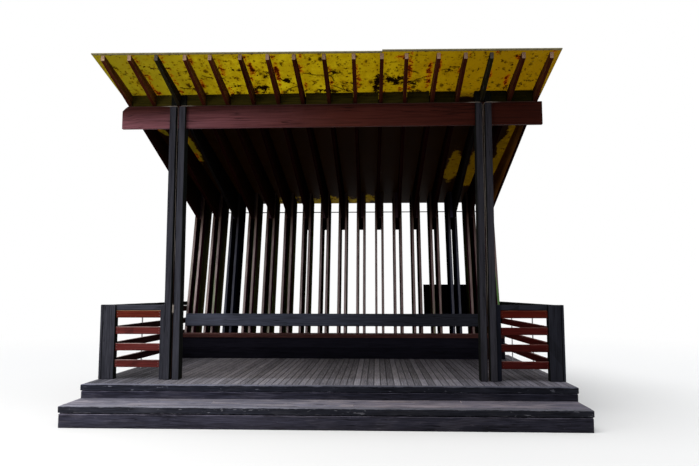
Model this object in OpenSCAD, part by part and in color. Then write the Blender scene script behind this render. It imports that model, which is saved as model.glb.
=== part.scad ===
// Timber bandstand with a mono-pitch roof
//
// A raised stage with a long step in front. Two built-up main posts carry a
// front beam, and seventeen tapered rafters reach over it from a leaning back
// wall of paired fins. Yellow sheets cover the rafters, a bench runs along
// the wall, and railings close the sides of the stage.
//
// All sizes are in millimetres. X runs along the front, Y towards the back
// and Z up. The origin is on the ground, in the middle of the plan.

/* [Step] */
// Height of the step above the ground
step_rise = 239; // [180:1:280]
// Depth of the step
step_going = 557; // [350:1:700]
// How much shorter than the stage the step is at each end
step_inset = 17; // [5:1:200]
// Height of the edge board along the front of the step and the stage
edge_h = 74; // [50:1:110]
// Thickness of the edge boards, front to back
edge_t = 100; // [75:1:130]
// How far an edge board stands proud of its riser
edge_proud = 8; // [3:1:20]

/* [Stage] */
// Height of the stage floor above the ground
stage_h = 400; // [350:1:520]
// Floor beyond the middle of the outer frames, at each side
side_margin = 288; // [270:1:420]
// Floor behind the foot of the wall
rear_margin = 32; // [10:1:300]
// Thickness of the floor and step boards
board_t = 40; // [25:1:50]
// Thickness of risers, skirts and bench boards
skirt_t = 40; // [25:1:50]

/* [Frames] */
// Number of frames, odd so that one stands in the middle
frames = 17; // [11:2:21]
// Distance from one frame to the next
frame_pitch = 339; // [300:1:400]
// Frames outside each main post
wing = 2; // [1:1:3]
// Thickness of a rafter
rafter_t = 45; // [30:1:60]
// Height of a rafter over the front beam
rafter_h = 163; // [130:1:200]
// Thickness of a wall fin
fin_t = 42; // [25:1:50]
// Clear gap between the two fins of a frame
fin_gap = 78; // [66:1:100]
// Depth of a wall fin, front to back
fin_d = 560; // [350:1:600]
// Lean of the wall away from the stage, in degrees
wall_lean = 12.9; // [8:0.1:16]
// Distance from the front of the main posts to the foot of the wall
wall_setback = 2862; // [2300:1:3200]

/* [Roof] */
// Slope of the roof sheets, in degrees
roof_pitch = 12.7; // [11:0.1:15]
// Slope of the rafters' lower edge, in degrees
under_pitch = 18.4; // [16.5:0.1:19]
// How far the middle rafter reaches in front of the beam
front_reach = 849; // [600:1:900]
// How much farther back the last rafter ends than the first
tip_skew = 78; // [0:1:150]
// Thickness of the roof sheets
sheet_t = 8; // [4:1:16]
// Overhang of the sheets in front of the rafters
sheet_front = 30; // [10:1:80]
// Extra reach of the right sheet in front
sheet_step = 28; // [0:1:60]
// Overhang of the sheets beyond the outer rafters
sheet_side = 96; // [20:1:160]
// Overhang of the sheets behind the wall
eave = 30; // [10:1:120]
// Rafter that carries the joint of the sheets, counted from the middle
joint_rafter = 2; // [-3:1:3]
// Width of the pale strip around the front edge of the sheets
trim_w = 24; // [10:1:50]
// Thickness of the strip
trim_t = 2; // [1:0.5:4]

/* [Main posts] */
// Distance from the front of the stage to the front of the posts
post_setback = 439; // [300:1:700]
// Width of a main post
post_w = 212; // [180:1:240]
// Gap between the two legs of a main post
leg_gap = 36; // [28:1:44]
// Thickness of one layer of a main post, front to back
ply_t = 50; // [40:1:60]
// Distance from the top of the front legs to the top of the beam
leg_drop = 22; // [14:1:60]

/* [Front beam] */
// Underside of the front beam above the stage floor
beam_clear = 3320; // [3000:1:3500]
// Height of the front beam
beam_h = 310; // [220:1:340]
// Length of the beam beyond the middle of the outer frames, at each end
beam_over = 98; // [60:1:200]
// Thickness of the boards between the rafters over the beam
block_t = 30; // [18:1:45]
// Width of the broken corner at the left end of the beam
chip_w = 80; // [20:1:160]
// Height of the broken corner
chip_h = 68; // [20:1:160]

/* [Bench] */
// Height of the bench seat above the stage floor
seat_h = 412; // [380:1:480]
// Depth of the bench seat at the top
seat_d = 330; // [280:1:420]
// Thickness of the seat
seat_t = 45; // [30:1:55]
// Height of the seat's front edge
seat_edge = 60; // [56:1:90]
// Length of the bench beyond the middle of the outer frames, at each end
bench_over = 68; // [0:1:78]
// Setback of the boards under the seat
seat_toe = 20; // [0:1:60]
// Height of the lower board under the seat
kick_h = 186; // [120:1:250]
// Gap between the boards under the seat
kick_gap = 4; // [2:1:10]
// Height of the ledger that carries the back of the seat
ledger_h = 95; // [60:1:150]
// Clear gap between the seat and the back rail
back_gap = 119; // [60:1:200]
// Height of the back rail
back_rail_h = 212; // [120:1:240]
// Thickness of the back rail
back_rail_t = 45; // [30:1:60]

/* [Railings] */
// Height of the railings above the stage floor
railing_h = 960; // [900:1:1100]
// Distance from the front of the main posts to the front of the railing
railing_setback = 30; // [0:1:100]
// Width of a corner post
corner_w = 162; // [120:1:180]
// Depth of the corner and inner posts
corner_d = 100; // [90:1:130]
// Width of the board on the outer side of a corner post
corner_side = 40; // [25:1:50]
// Width of the inner post beside a main post
inner_w = 60; // [45:1:80]
// Height of a rail
rail_h = 95; // [70:1:110]
// Distance from one rail to the next
rail_pitch = 213; // [200:1:222]
// Number of rails under the top rail
rails = 4; // [2:1:4]
// Height of the top rail
top_rail_h = 68; // [50:1:80]
// Gap between the top rail and the first rail
top_gap = 7; // [2:1:20]
// Thickness of the rails
rail_t = 40; // [25:1:50]
// Setback of the front rails behind the front of their posts
rail_setback = 25; // [0:1:40]
// Distance from the side of the stage to the front end of the side rails
side_rail_in = 80; // [60:1:110]
// Length of the side rails beside the wall
side_rail_lap = 300; // [100:1:500]
// Width of the straps on the side rails
strap_w = 25; // [20:1:60]
// Thickness of the straps
strap_t = 12; // [5:1:20]

/* [Small parts] */
// Diameter of the cables on the posts and the beam
cable_d = 9; // [5:1:10]
// Bend radius of a cable where it leaves a post
cable_bend = 30; // [26:1:34]
// Diameter of the joint in the left post's cables
cable_joint_d = 26; // [22:1:30]
// Length of the joint
cable_joint_h = 100; // [50:1:150]
// Diameter of the rod behind the wall
rod_d = 18; // [10:1:30]
// Distance of the rod below the eave
rod_drop = 185; // [80:1:250]
// Width of the panel behind the wall
panel_w = 1040; // [700:1:1100]
// Height of the panel behind the wall
panel_h = 670; // [400:1:900]
// Thickness of the panel
panel_t = 18; // [10:1:30]
// Height of the panel's top above the stage floor
panel_top = 1270; // [1200:1:1600]

/* [Hidden] */

// Clearance between pieces that lie against each other
snug = 0.2;
// How far a cut runs past the form that it cuts
cut_past = 1;

// Timbers under the floor, and the largest distance between them
bearer_w = 80;
bearer_h = 150;
joist_w = 60;
bearer_span = 600;

// Share of the side rails' length at which each strap stands
strap_places = [0.34, 0.72];
// Height of the middle of the cables' joint above the stage floor
cable_joint_z = 905;
// Distance from the top of the beam to the top of the cables
cable_drop = 2;

// Frame i is counted from 0 at the left
mid = (frames - 1) / 2;
left_main = wing;
right_main = frames - 1 - wing;
function frame_x(i) = (i - mid) * frame_pitch;
main_x = frame_x(right_main);
outer_x = frame_x(frames - 1);
fin_off = (fin_gap + fin_t) / 2;
fin_side_x = outer_x + fin_off + fin_t / 2;

// Widths
stage_w = 2 * (outer_x + side_margin);
step_len = stage_w - 2 * step_inset;
beam_half = outer_x + beam_over;
bench_len = 2 * (outer_x + bench_over);
sheet_x = outer_x + rafter_t / 2 + sheet_side;
joint_x = frame_x(mid + joint_rafter) + rafter_t / 2;

// Places front to back, measured as runs from the front of the step
run_stage = step_going;
run_post = run_stage + post_setback;
run_beam = run_post + ply_t;
run_back = run_beam + ply_t;
run_wall = run_post + wall_setback;
run_rear = run_wall + fin_d + rear_margin;
run_rail = run_post + railing_setback;
run_side = run_rail + corner_d + snug;
behind_riser = edge_proud + skirt_t + snug;
behind_edge = edge_t + snug;

// Heights
beam_bot = stage_h + beam_clear;
beam_top = beam_bot + beam_h;
under_floor = stage_h - board_t - snug;
seat_z = stage_h + seat_h;
back_rail_z = seat_z + back_gap;
railing_z = stage_h + railing_h;
top_rail_z = railing_z - top_rail_h;
function rail_z(k) = top_rail_z - top_gap - rail_h - k * rail_pitch;

// Slopes
m_roof = tan(roof_pitch);
m_under = tan(under_pitch);
m_wall = tan(wall_lean);

// Underside of the roof sheets and of the rafters at a run, and the front of
// the fins at a height
function roof_z(run) = beam_top + rafter_h - m_roof * (run - run_beam);
function under_z(run) = beam_top - m_under * (run - run_beam);
function wall_run(z) = run_wall + m_wall * (z - stage_h);

// Run at which a line that falls with slope m from height z0 meets the wall,
// a depth behind its front
function meet_run(z0, m, depth) = (wall_run(z0) + depth) / (1 + m_wall * m);
function roof_meet(depth) = meet_run(roof_z(0), m_roof, depth);
function under_meet(depth) = meet_run(under_z(0), m_under, depth);

run_eave = roof_meet(fin_d) + eave;
run_seat = wall_run(seat_z) - seat_d;

// Front end of rafter i
function tip_run(i) = run_beam - front_reach + tip_skew * (i - mid) / (frames - 1);

// Runs start at the front of the plan, and the origin is in its middle
front_y = -run_eave / 2;

// A box between two corners, with its front and back given as runs
module block(x0, x1, r0, r1, z0, z1) {
  translate([x0, front_y + r0, z0]) cube([x1 - x0, r1 - r0, z1 - z0]);
}

// A side outline of [run, z] points, t wide about x
module profile(x, t, points) {
  translate([x - t / 2, front_y, 0])
    rotate([90, 0, 90]) linear_extrude(t) polygon(points);
}

// A board of thickness t against the front of the wall, between two heights
module wall_board(half, t, z0, z1) {
  profile(0, 2 * half, [
    [wall_run(z0) - snug - t, z0], [wall_run(z0) - snug, z0],
    [wall_run(z1) - snug, z1], [wall_run(z1) - snug - t, z1]
  ]);
}

// A right-hand piece and its mirror image
module both_sides() {
  children();
  mirror([1, 0, 0]) children();
}

// Boxes spaced evenly across x, with one at each end and one in the middle
module across(half, w, r0, r1, z0, z1) {
  n = 2 * ceil((2 * half - w) / bearer_span / 2);
  for (k = [0 : n]) {
    x = -half + k * (2 * half - w) / n;
    block(x, x + w, r0, r1, z0, z1);
  }
}

// Under the floor

module ground_bearers() color("DimGray")
  across(stage_w / 2 - skirt_t - snug, bearer_w, run_stage + behind_riser,
    run_rear - skirt_t - snug, 0, bearer_h);

module stage_joists() color("DimGray") {
  first = run_stage + behind_edge;
  last = run_rear - skirt_t - snug - joist_w;
  half = stage_w / 2 - skirt_t - snug;
  n = ceil((last - first) / bearer_span);
  for (k = [0 : n]) {
    run = first + k * (last - first) / n;
    block(-half, half, run, run + joist_w, bearer_h + snug, under_floor);
  }
}

module step_bearers() color("DimGray")
  across(step_len / 2 - skirt_t - snug, bearer_w, behind_edge, run_stage + edge_proud - snug,
    0, step_rise - board_t - snug);

// Step and stage

module riser(len, run, top) color("SlateGray")
  block(edge_proud - len / 2, len / 2 - edge_proud, run + edge_proud, run + edge_proud + skirt_t,
    0, top - edge_h - snug);

module edge_board(len, run, top) color("SlateGray")
  block(-len / 2, len / 2, run, run + edge_t, top - edge_h, top);

// Boards that close a level at both sides, notched under its edge board
module side_boards(len, run, back, top) color("SlateGray")
  both_sides() profile((len - skirt_t) / 2, skirt_t, [
    [run + behind_riser, 0], [back, 0], [back, top - board_t - snug],
    [run + behind_edge, top - board_t - snug], [run + behind_edge, top - edge_h - snug],
    [run + behind_riser, top - edge_h - snug]
  ]);

module step_riser() riser(step_len, 0, step_rise);
module step_edge() edge_board(step_len, 0, step_rise);

module step_tread() color("LightSlateGray")
  block(-step_len / 2, step_len / 2, behind_edge, run_stage + edge_proud - snug,
    step_rise - board_t, step_rise);

module step_ends() side_boards(step_len, 0, run_stage + edge_proud - snug, step_rise);

module stage_riser() riser(stage_w, run_stage, stage_h);
module stage_edge() edge_board(stage_w, run_stage, stage_h);

module stage_boards() color("Gray")
  block(-stage_w / 2, stage_w / 2, run_stage + behind_edge, run_rear,
    stage_h - board_t, stage_h);

module side_skirts() side_boards(stage_w, run_stage, run_rear, stage_h);

module rear_skirt() color("SlateGray")
  block(skirt_t + snug - stage_w / 2, stage_w / 2 - skirt_t - snug, run_rear - skirt_t, run_rear,
    0, under_floor);

// Main posts: front legs, a core under the beam that goes on as a head over
// it, and back legs. The head and the back legs clasp the main rafter.

clasp_gap = rafter_t + 2 * snug;

module post_layer(x, gap, run, bottom, top) {
  leg = (post_w - gap) / 2;
  for (edge = [-post_w / 2, gap / 2])
    block(x + edge, x + edge + leg, run, run + ply_t - snug, bottom, top);
}

module post_legs(x) color("LightSlateGray")
  post_layer(x, leg_gap, run_post, stage_h, beam_top - leg_drop);

module post_core(x) color("SlateGray") {
  post_layer(x, leg_gap, run_beam, stage_h, beam_bot - snug);
  post_layer(x, clasp_gap, run_beam, beam_top + snug, roof_z(run_back));
}

module post_back(x) color("SlateGray")
  post_layer(x, clasp_gap, run_back, stage_h, roof_z(run_back + ply_t));

module left_post_legs() post_legs(-main_x);
module left_post_core() post_core(-main_x);
module left_post_back() post_back(-main_x);
module right_post_legs() post_legs(main_x);
module right_post_core() post_core(main_x);
module right_post_back() post_back(main_x);

// Front beam, with its left top corner broken off

module front_beam() color("Brown")
  translate([0, front_y + run_back - snug, 0])
    rotate([90, 0, 0])
      linear_extrude(ply_t - 2 * snug)
        polygon([
          [-beam_half, beam_bot], [beam_half, beam_bot], [beam_half, beam_top],
          [chip_w - beam_half, beam_top], [-beam_half, beam_top - chip_h]
        ]);

// Boards between the rafters over the beam, up to the heads of the posts. The
// bay left of the right main post has lost its board.

function half_over_beam(i) = (i == left_main || i == right_main ? post_w : rafter_t) / 2;

module beam_blocking() color("DarkOliveGreen") {
  front = run_beam + (ply_t - block_t) / 2;
  for (i = [1 : frames - 1])
    if (i != right_main)
      block(frame_x(i - 1) + half_over_beam(i - 1) + snug, frame_x(i) - half_over_beam(i) - snug,
        front, front + block_t, beam_top + snug, roof_z(front + block_t));
}

// A rafter tapers from the wall to a thin tip. Its tail is thicker, and fills
// the gap between the fins.

module rafter(i) {
  tip = tip_run(i);
  knee = under_meet(0);
  low = under_meet(fin_d);
  crown = roof_meet(0);
  top = roof_meet(fin_d);
  profile(frame_x(i), rafter_t, [
    [tip, under_z(tip)], [low, under_z(low)], [top, roof_z(top)], [tip, roof_z(tip)]
  ]);
  profile(frame_x(i), fin_gap - 2 * snug, [
    [knee, under_z(knee)], [low, under_z(low)], [top, roof_z(top)], [crown, roof_z(crown)]
  ]);
}

module left_rafters() color("SaddleBrown") for (i = [0 : left_main - 1]) rafter(i);
module main_rafters() color("DarkSlateGray") for (i = [left_main, right_main]) rafter(i);
module middle_rafters() color("SaddleBrown") for (i = [left_main + 1 : right_main - 1]) rafter(i);
module right_rafters() color("SaddleBrown") for (i = [right_main + 1 : frames - 1]) rafter(i);

// The two fins of a frame lean back with the wall, from the floor to the sheets

module fin_pair(i) {
  front = roof_meet(0);
  back = roof_meet(fin_d);
  for (side = [-1, 1])
    profile(frame_x(i) + side * fin_off, fin_t, [
      [run_wall, stage_h], [run_wall + fin_d, stage_h], [back, roof_z(back)], [front, roof_z(front)]
    ]);
}

module outer_fins() color("RosyBrown") {
  for (i = [0 : left_main - 1]) fin_pair(i);
  for (i = [right_main + 1 : frames - 1]) fin_pair(i);
}
module main_fins() color("DarkSlateGray") for (i = [left_main, right_main]) fin_pair(i);
module middle_fins() color("RosyBrown") for (i = [left_main + 1 : right_main - 1]) fin_pair(i);

// Roof sheets lie on the rafters, and their front edge follows the tips

function edge_run(x) = tip_run(mid) - sheet_front + tip_skew * x / (2 * outer_x);
function up_slope(run) = (run - run_beam) / cos(roof_pitch);

module on_roof()
  translate([0, front_y + run_beam, beam_top + rafter_h])
    rotate([-roof_pitch, 0, 0]) translate([0, 0, snug]) children();

module sheet(x0, x1, reach)
  on_roof() linear_extrude(sheet_t) polygon([
    [x0, up_slope(edge_run(x0) - reach)], [x1, up_slope(edge_run(x1) - reach)],
    [x1, up_slope(run_eave)], [x0, up_slope(run_eave)]
  ]);

module left_sheet() color("Gold", 0.7) sheet(-sheet_x, joint_x - snug, 0);
module right_sheet() color("Gold", 0.7) sheet(joint_x, sheet_x, sheet_step);

// A strip folded around the front edge of a sheet: a slab around the edge,
// less the sheet and its clearance

module edge_slab(x0, x1, front, back, under, over)
  translate([0, 0, -under]) linear_extrude(under + over) polygon([
    [x0, up_slope(edge_run(x0)) - front], [x1, up_slope(edge_run(x1)) - front],
    [x1, up_slope(edge_run(x1)) + back], [x0, up_slope(edge_run(x0)) + back]
  ]);

module strip(x0, x1, reach)
  on_roof() translate([0, -up_slope(run_beam + reach), 0]) difference() {
    edge_slab(x0, x1, trim_t + snug, trim_w, trim_t + snug, sheet_t + trim_t + snug);
    edge_slab(x0 - cut_past, x1 + cut_past, snug, trim_w + cut_past, snug, sheet_t + snug);
  }

module sheet_trim() color("Khaki") {
  strip(-sheet_x, joint_x - 2 * snug, 0);
  strip(joint_x + 2 * snug, sheet_x, sheet_step);
}

// Rod along the back edges of the fins, and a panel fixed to them

rod_z = roof_z(run_eave) - rod_drop;

module rear_rod() color("DimGray")
  translate([-fin_side_x, front_y + wall_run(rod_z) + fin_d + (rod_d / 2 + snug) / cos(wall_lean), rod_z])
    rotate([0, 90, 0]) cylinder(d = rod_d, h = 2 * fin_side_x, $fn = 32);

module rear_panel() color("DarkSlateGray") {
  top = stage_h + panel_top;
  bottom = top - panel_h;
  right = outer_x - frame_pitch / 2;
  back = fin_d + snug;
  profile(right - panel_w / 2, panel_w, [
    [wall_run(bottom) + back, bottom], [wall_run(bottom) + back + panel_t, bottom],
    [wall_run(top) + back + panel_t, top], [wall_run(top) + back, top]
  ]);
}

// Bench

module bench_front() color("DimGray") {
  front = run_seat + seat_toe;
  split = stage_h + kick_h;
  for (z = [[stage_h, split], [split + kick_gap, seat_z - seat_edge - snug]])
    block(-bench_len / 2, bench_len / 2, front, front + skirt_t, z[0], z[1]);
}

module bench_seat() color("FireBrick") {
  lip = run_seat + seat_toe + skirt_t;
  below = seat_z - seat_t;
  profile(0, bench_len, [
    [run_seat, seat_z - seat_edge], [lip, seat_z - seat_edge], [lip, below],
    [wall_run(below) - snug, below], [wall_run(seat_z) - snug, seat_z], [run_seat, seat_z]
  ]);
}

module bench_ledger() color("DimGray")
  wall_board(bench_len / 2, skirt_t, seat_z - seat_t - snug - ledger_h, seat_z - seat_t - snug);

module back_rail() color("LightSlateGray")
  wall_board(bench_len / 2, back_rail_t, back_rail_z, back_rail_z + back_rail_h);

// Railings, drawn for the right-hand side

corner_out = stage_w / 2 - corner_side;
corner_in = corner_out - corner_w;
inner_in = main_x + post_w / 2 + snug;

module rail_post(x0, x1, setback)
  block(x0, x1, run_rail + setback, run_rail + corner_d, stage_h, railing_z);

module rail_posts() color("LightSlateGray") {
  rail_post(corner_in, corner_out, 0);
  rail_post(corner_out + snug, corner_out + corner_side, edge_proud);
  rail_post(inner_in, inner_in + inner_w, 0);
}

module front_rail(z, h)
  block(inner_in + inner_w + snug, corner_in - snug, run_rail + rail_setback,
    run_rail + rail_setback + rail_t, z, z + h);

// The side rails run from the back of the corner post to the side of the
// outer fin. They are drawn along Y, with their inner face in the plane x = 0.

side_front_x = stage_w / 2 - side_rail_in - rail_t;
side_back_x = fin_side_x + snug;
side_depth = wall_run(railing_z) + side_rail_lap - run_side;
side_turn = atan((side_front_x - side_back_x) / side_depth);
side_len = side_depth / cos(side_turn);

module on_side()
  translate([side_front_x, front_y + run_side, 0]) rotate([0, 0, side_turn]) children();

module side_rail(z, h)
  on_side() translate([0, 0, z]) cube([rail_t, side_len, h]);

module front_rails() color("IndianRed") for (k = [0 : rails - 1]) front_rail(rail_z(k), rail_h);
module side_rails() color("IndianRed") for (k = [0 : rails - 1]) side_rail(rail_z(k), rail_h);
module top_rails() color("LightSlateGray") {
  front_rail(top_rail_z, top_rail_h);
  side_rail(top_rail_z, top_rail_h);
}

module left_rail_posts() mirror([1, 0, 0]) rail_posts();
module left_front_rails() mirror([1, 0, 0]) front_rails();
module left_side_rails() mirror([1, 0, 0]) side_rails();
module left_top_rails() mirror([1, 0, 0]) top_rails();
module right_rail_posts() rail_posts();
module right_front_rails() front_rails();
module right_side_rails() side_rails();
module right_top_rails() top_rails();

module side_straps() color("LightGray")
  both_sides() on_side()
    for (place = strap_places)
      translate([rail_t + snug, place * side_len - strap_w / 2, stage_h])
        cube([strap_t, strap_w, railing_h - top_rail_h / 2]);

// Cables: two in the gap of each main post, that bend apart and follow the
// top of the beam

cable_off = leg_gap / 4;
cable_z = beam_top - cable_drop - cable_d / 2;

module cable(side, length) {
  rise = cable_z - cable_bend;
  translate([side * cable_off, 0, 0]) {
    translate([0, 0, stage_h]) cylinder(d = cable_d, h = rise - stage_h, $fn = 24);
    translate([side * cable_bend, 0, rise])
      rotate([90, 0, 0]) rotate([0, 0, side > 0 ? 90 : 0])
        rotate_extrude(angle = 90, $fn = 64) translate([cable_bend, 0]) circle(d = cable_d, $fn = 24);
    translate([side * cable_bend, 0, cable_z])
      rotate([0, side * 90, 0]) cylinder(d = cable_d, h = length, $fn = 24);
  }
}

module post_cables() color("WhiteSmoke") {
  run = run_beam - cable_d / 2 - snug;
  start = cable_off + cable_bend;
  to_end = beam_half - main_x - start - chip_w - cable_d;
  both_sides() translate([main_x, front_y + run, 0]) {
    cable(1, to_end);
    cable(-1, main_x - start - cable_d);
  }
  translate([-main_x, front_y + run_beam - snug - cable_joint_d / 2, stage_h + cable_joint_z - cable_joint_h / 2])
    cylinder(d = cable_joint_d, h = cable_joint_h, $fn = 32);
}

ground_bearers();
stage_joists();
step_bearers();
step_riser();
step_edge();
step_tread();
step_ends();
stage_riser();
stage_edge();
stage_boards();
side_skirts();
rear_skirt();
left_post_legs();
left_post_core();
left_post_back();
right_post_legs();
right_post_core();
right_post_back();
front_beam();
beam_blocking();
left_rafters();
main_rafters();
middle_rafters();
right_rafters();
outer_fins();
main_fins();
middle_fins();
left_sheet();
right_sheet();
sheet_trim();
rear_rod();
rear_panel();
bench_front();
bench_ledger();
bench_seat();
back_rail();
left_rail_posts();
left_front_rails();
left_side_rails();
left_top_rails();
right_rail_posts();
right_front_rails();
right_side_rails();
right_top_rails();
side_straps();
post_cables();
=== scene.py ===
"""Looks of the timber bandstand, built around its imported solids.

Every board that shows is modelled on its own, with worn edges and its own grain.
Each sub-assembly is a class that holds its sizes, builds its pieces and dresses
them. Sizes are in metres: X runs along the front, Y towards the back and Z up.
"""

import logging
import math
import random
from dataclasses import dataclass, replace
from enum import Enum
from functools import cache
from typing import Callable, Sequence

import bmesh
import bpy
from mathutils import Matrix, Vector, noise
from mathutils.bvhtree import BVHTree

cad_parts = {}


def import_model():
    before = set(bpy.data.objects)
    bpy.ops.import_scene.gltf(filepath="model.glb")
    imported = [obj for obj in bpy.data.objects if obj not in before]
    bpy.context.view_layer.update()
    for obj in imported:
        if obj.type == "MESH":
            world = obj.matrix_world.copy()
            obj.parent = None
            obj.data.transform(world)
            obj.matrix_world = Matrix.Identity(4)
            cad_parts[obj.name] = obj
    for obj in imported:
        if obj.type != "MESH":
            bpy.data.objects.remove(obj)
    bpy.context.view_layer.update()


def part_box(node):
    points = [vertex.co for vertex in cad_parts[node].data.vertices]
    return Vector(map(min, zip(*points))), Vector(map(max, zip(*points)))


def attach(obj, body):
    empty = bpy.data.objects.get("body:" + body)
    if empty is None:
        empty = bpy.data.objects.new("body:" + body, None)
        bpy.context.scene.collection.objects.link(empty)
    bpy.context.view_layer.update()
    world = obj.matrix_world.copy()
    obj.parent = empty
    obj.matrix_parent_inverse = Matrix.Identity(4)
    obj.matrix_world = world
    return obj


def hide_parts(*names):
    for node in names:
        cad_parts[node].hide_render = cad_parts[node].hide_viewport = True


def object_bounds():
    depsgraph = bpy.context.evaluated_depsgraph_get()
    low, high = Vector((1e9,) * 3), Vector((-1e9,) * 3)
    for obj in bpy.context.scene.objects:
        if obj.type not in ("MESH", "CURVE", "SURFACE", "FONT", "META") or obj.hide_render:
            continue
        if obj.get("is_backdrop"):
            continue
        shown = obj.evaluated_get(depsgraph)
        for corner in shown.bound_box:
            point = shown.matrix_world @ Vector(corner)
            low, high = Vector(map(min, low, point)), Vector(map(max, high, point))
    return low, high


Colour = tuple[float, float, float]
Point = tuple[float, float]
Socket = bpy.types.NodeSocket

LOG = logging.getLogger("bandstand")
BODY = "root"
NOISE_SEED = 5

# Sizes and directions that several classes share

JOINT = 0.0002
FRAME_PITCH = 0.339
MAIN_X = 6 * FRAME_PITCH
WALL_LEAN = math.radians(12.9)
SHARP_EDGE = math.radians(25.0)
WANDER_SCALE = 0.9
RAG_SCALES = (9.0, 33.0)
STUD_TAPER = 0.7
CABLE_JOINT_Z = 1.305
RIGHT = Vector((1.0, 0.0, 0.0))
BACK = Vector((0.0, 1.0, 0.0))
UP = Vector((0.0, 0.0, 1.0))


# Shader graphs


class Graph:
    """Short calls for wiring the nodes of one tree."""

    def __init__(self, tree: bpy.types.NodeTree) -> None:
        """Keeps the tree that the calls add to."""
        self.tree = tree

    def node(self, kind: str, **settings: object) -> bpy.types.Node:
        """Adds a node.

        Args:
            kind: The node's type, without the leading ShaderNode.
            settings: Properties to set on it.

        Returns:
            The new node.
        """
        made = self.tree.nodes.new("ShaderNode" + kind)
        for name, value in settings.items():
            setattr(made, name, value)
        return made

    def feed(self, target: Socket, value: object) -> None:
        """Links a socket to an input, or sets the input to a plain value.

        Args:
            target: The input.
            value: A socket, a number, a vector or a colour. None leaves the input alone.
        """
        if isinstance(value, bpy.types.NodeSocket):
            self.tree.links.new(value, target)
        elif value is not None:
            if target.type == "RGBA" and len(value) == 3:
                value = (*value, 1.0)
            target.default_value = value

    def math(self, operation: str, a: object, b: object = None) -> Socket:
        """Adds a Math node.

        Args:
            operation: Blender's name of the sum.
            a: The first value.
            b: The second value, where the sum has one.

        Returns:
            The node's value.
        """
        made = self.node("Math", operation=operation)
        self.feed(made.inputs[0], a)
        self.feed(made.inputs[1], b)
        return made.outputs[0]

    def times(self, a: object, b: object) -> Socket:
        """Returns the product of two values."""
        return self.math("MULTIPLY", a, b)

    def plus(self, a: object, b: object) -> Socket:
        """Returns the sum of two values."""
        return self.math("ADD", a, b)

    def minus(self, a: object, b: object) -> Socket:
        """Returns the first value less the second."""
        return self.math("SUBTRACT", a, b)

    def most(self, a: object, b: object) -> Socket:
        """Returns the larger of two values."""
        return self.math("MAXIMUM", a, b)

    def apart(self, a: object, b: object) -> Socket:
        """Returns how far two values are apart."""
        return self.math("ABSOLUTE", self.minus(a, b))

    def vector(self, operation: str, a: object, b: object = None) -> Socket:
        """Adds a Vector Math node.

        Args:
            operation: Blender's name of the sum.
            a: The first vector.
            b: The second vector, or the factor of a SCALE.

        Returns:
            The node's vector, or its value where the operation measures something.
        """
        made = self.node("VectorMath", operation=operation)
        self.feed(made.inputs[0], a)
        self.feed(made.inputs["Scale"] if operation == "SCALE" else made.inputs[1], b)
        return made.outputs[1 if operation in ("LENGTH", "DOT_PRODUCT") else 0]

    def split(self, vector: Socket) -> tuple[Socket, Socket, Socket]:
        """Returns the three parts of a vector."""
        made = self.node("SeparateXYZ")
        self.feed(made.inputs[0], vector)
        return made.outputs[0], made.outputs[1], made.outputs[2]

    def mix(self, factor: object, a: object, b: object) -> Socket:
        """Returns a colour that goes from a to b with a factor from 0 to 1."""
        made = self.node("Mix", data_type="RGBA")
        for target, value in ((0, factor), (6, a), (7, b)):
            self.feed(made.inputs[target], value)
        return made.outputs[2]

    def tint(self, mask: object, colour: Socket, factor: Colour) -> Socket:
        """Returns a colour that is multiplied by a tint where the mask is 1."""
        return self.mix(mask, colour, self.vector("MULTIPLY", colour, factor))

    def noise(self, place: object, scale: float, detail: float = 2.0, rough: float = 0.5,
              twist: float = 0.0) -> Socket:
        """Adds a noise texture.

        Args:
            place: Where it is read.
            scale: How fine it is.
            detail: How many finer layers it has.
            rough: How strong the finer layers are.
            twist: How much it is bent.

        Returns:
            Its value, around 0.5.
        """
        made = self.node("TexNoise")
        for name, value in (("Vector", place), ("Scale", scale), ("Detail", detail),
                            ("Roughness", rough), ("Distortion", twist)):
            self.feed(made.inputs[name], value)
        return made.outputs[0]

    def band(self, value: object, low: object, high: object, start: object = 0.0,
             end: object = 1.0) -> Socket:
        """Maps a value smoothly from low..high to start..end.

        Args:
            value: The value to map.
            low: Where the band starts. It may lie above high.
            high: Where the band ends.
            start: The result at low.
            end: The result at high.

        Returns:
            The mapped value.
        """
        made = self.node("MapRange", interpolation_type="SMOOTHSTEP")
        for target, given in zip(made.inputs, (value, low, high, start, end)):
            self.feed(target, given)
        return made.outputs[0]

    def place(self) -> Socket:
        """Returns the place on the bandstand."""
        return self.node("TexCoord").outputs["Object"]

    def attribute(self, name: str) -> Socket:
        """Returns a vector that the mesh carries."""
        return self.node("Attribute", attribute_name=name).outputs["Vector"]


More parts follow.
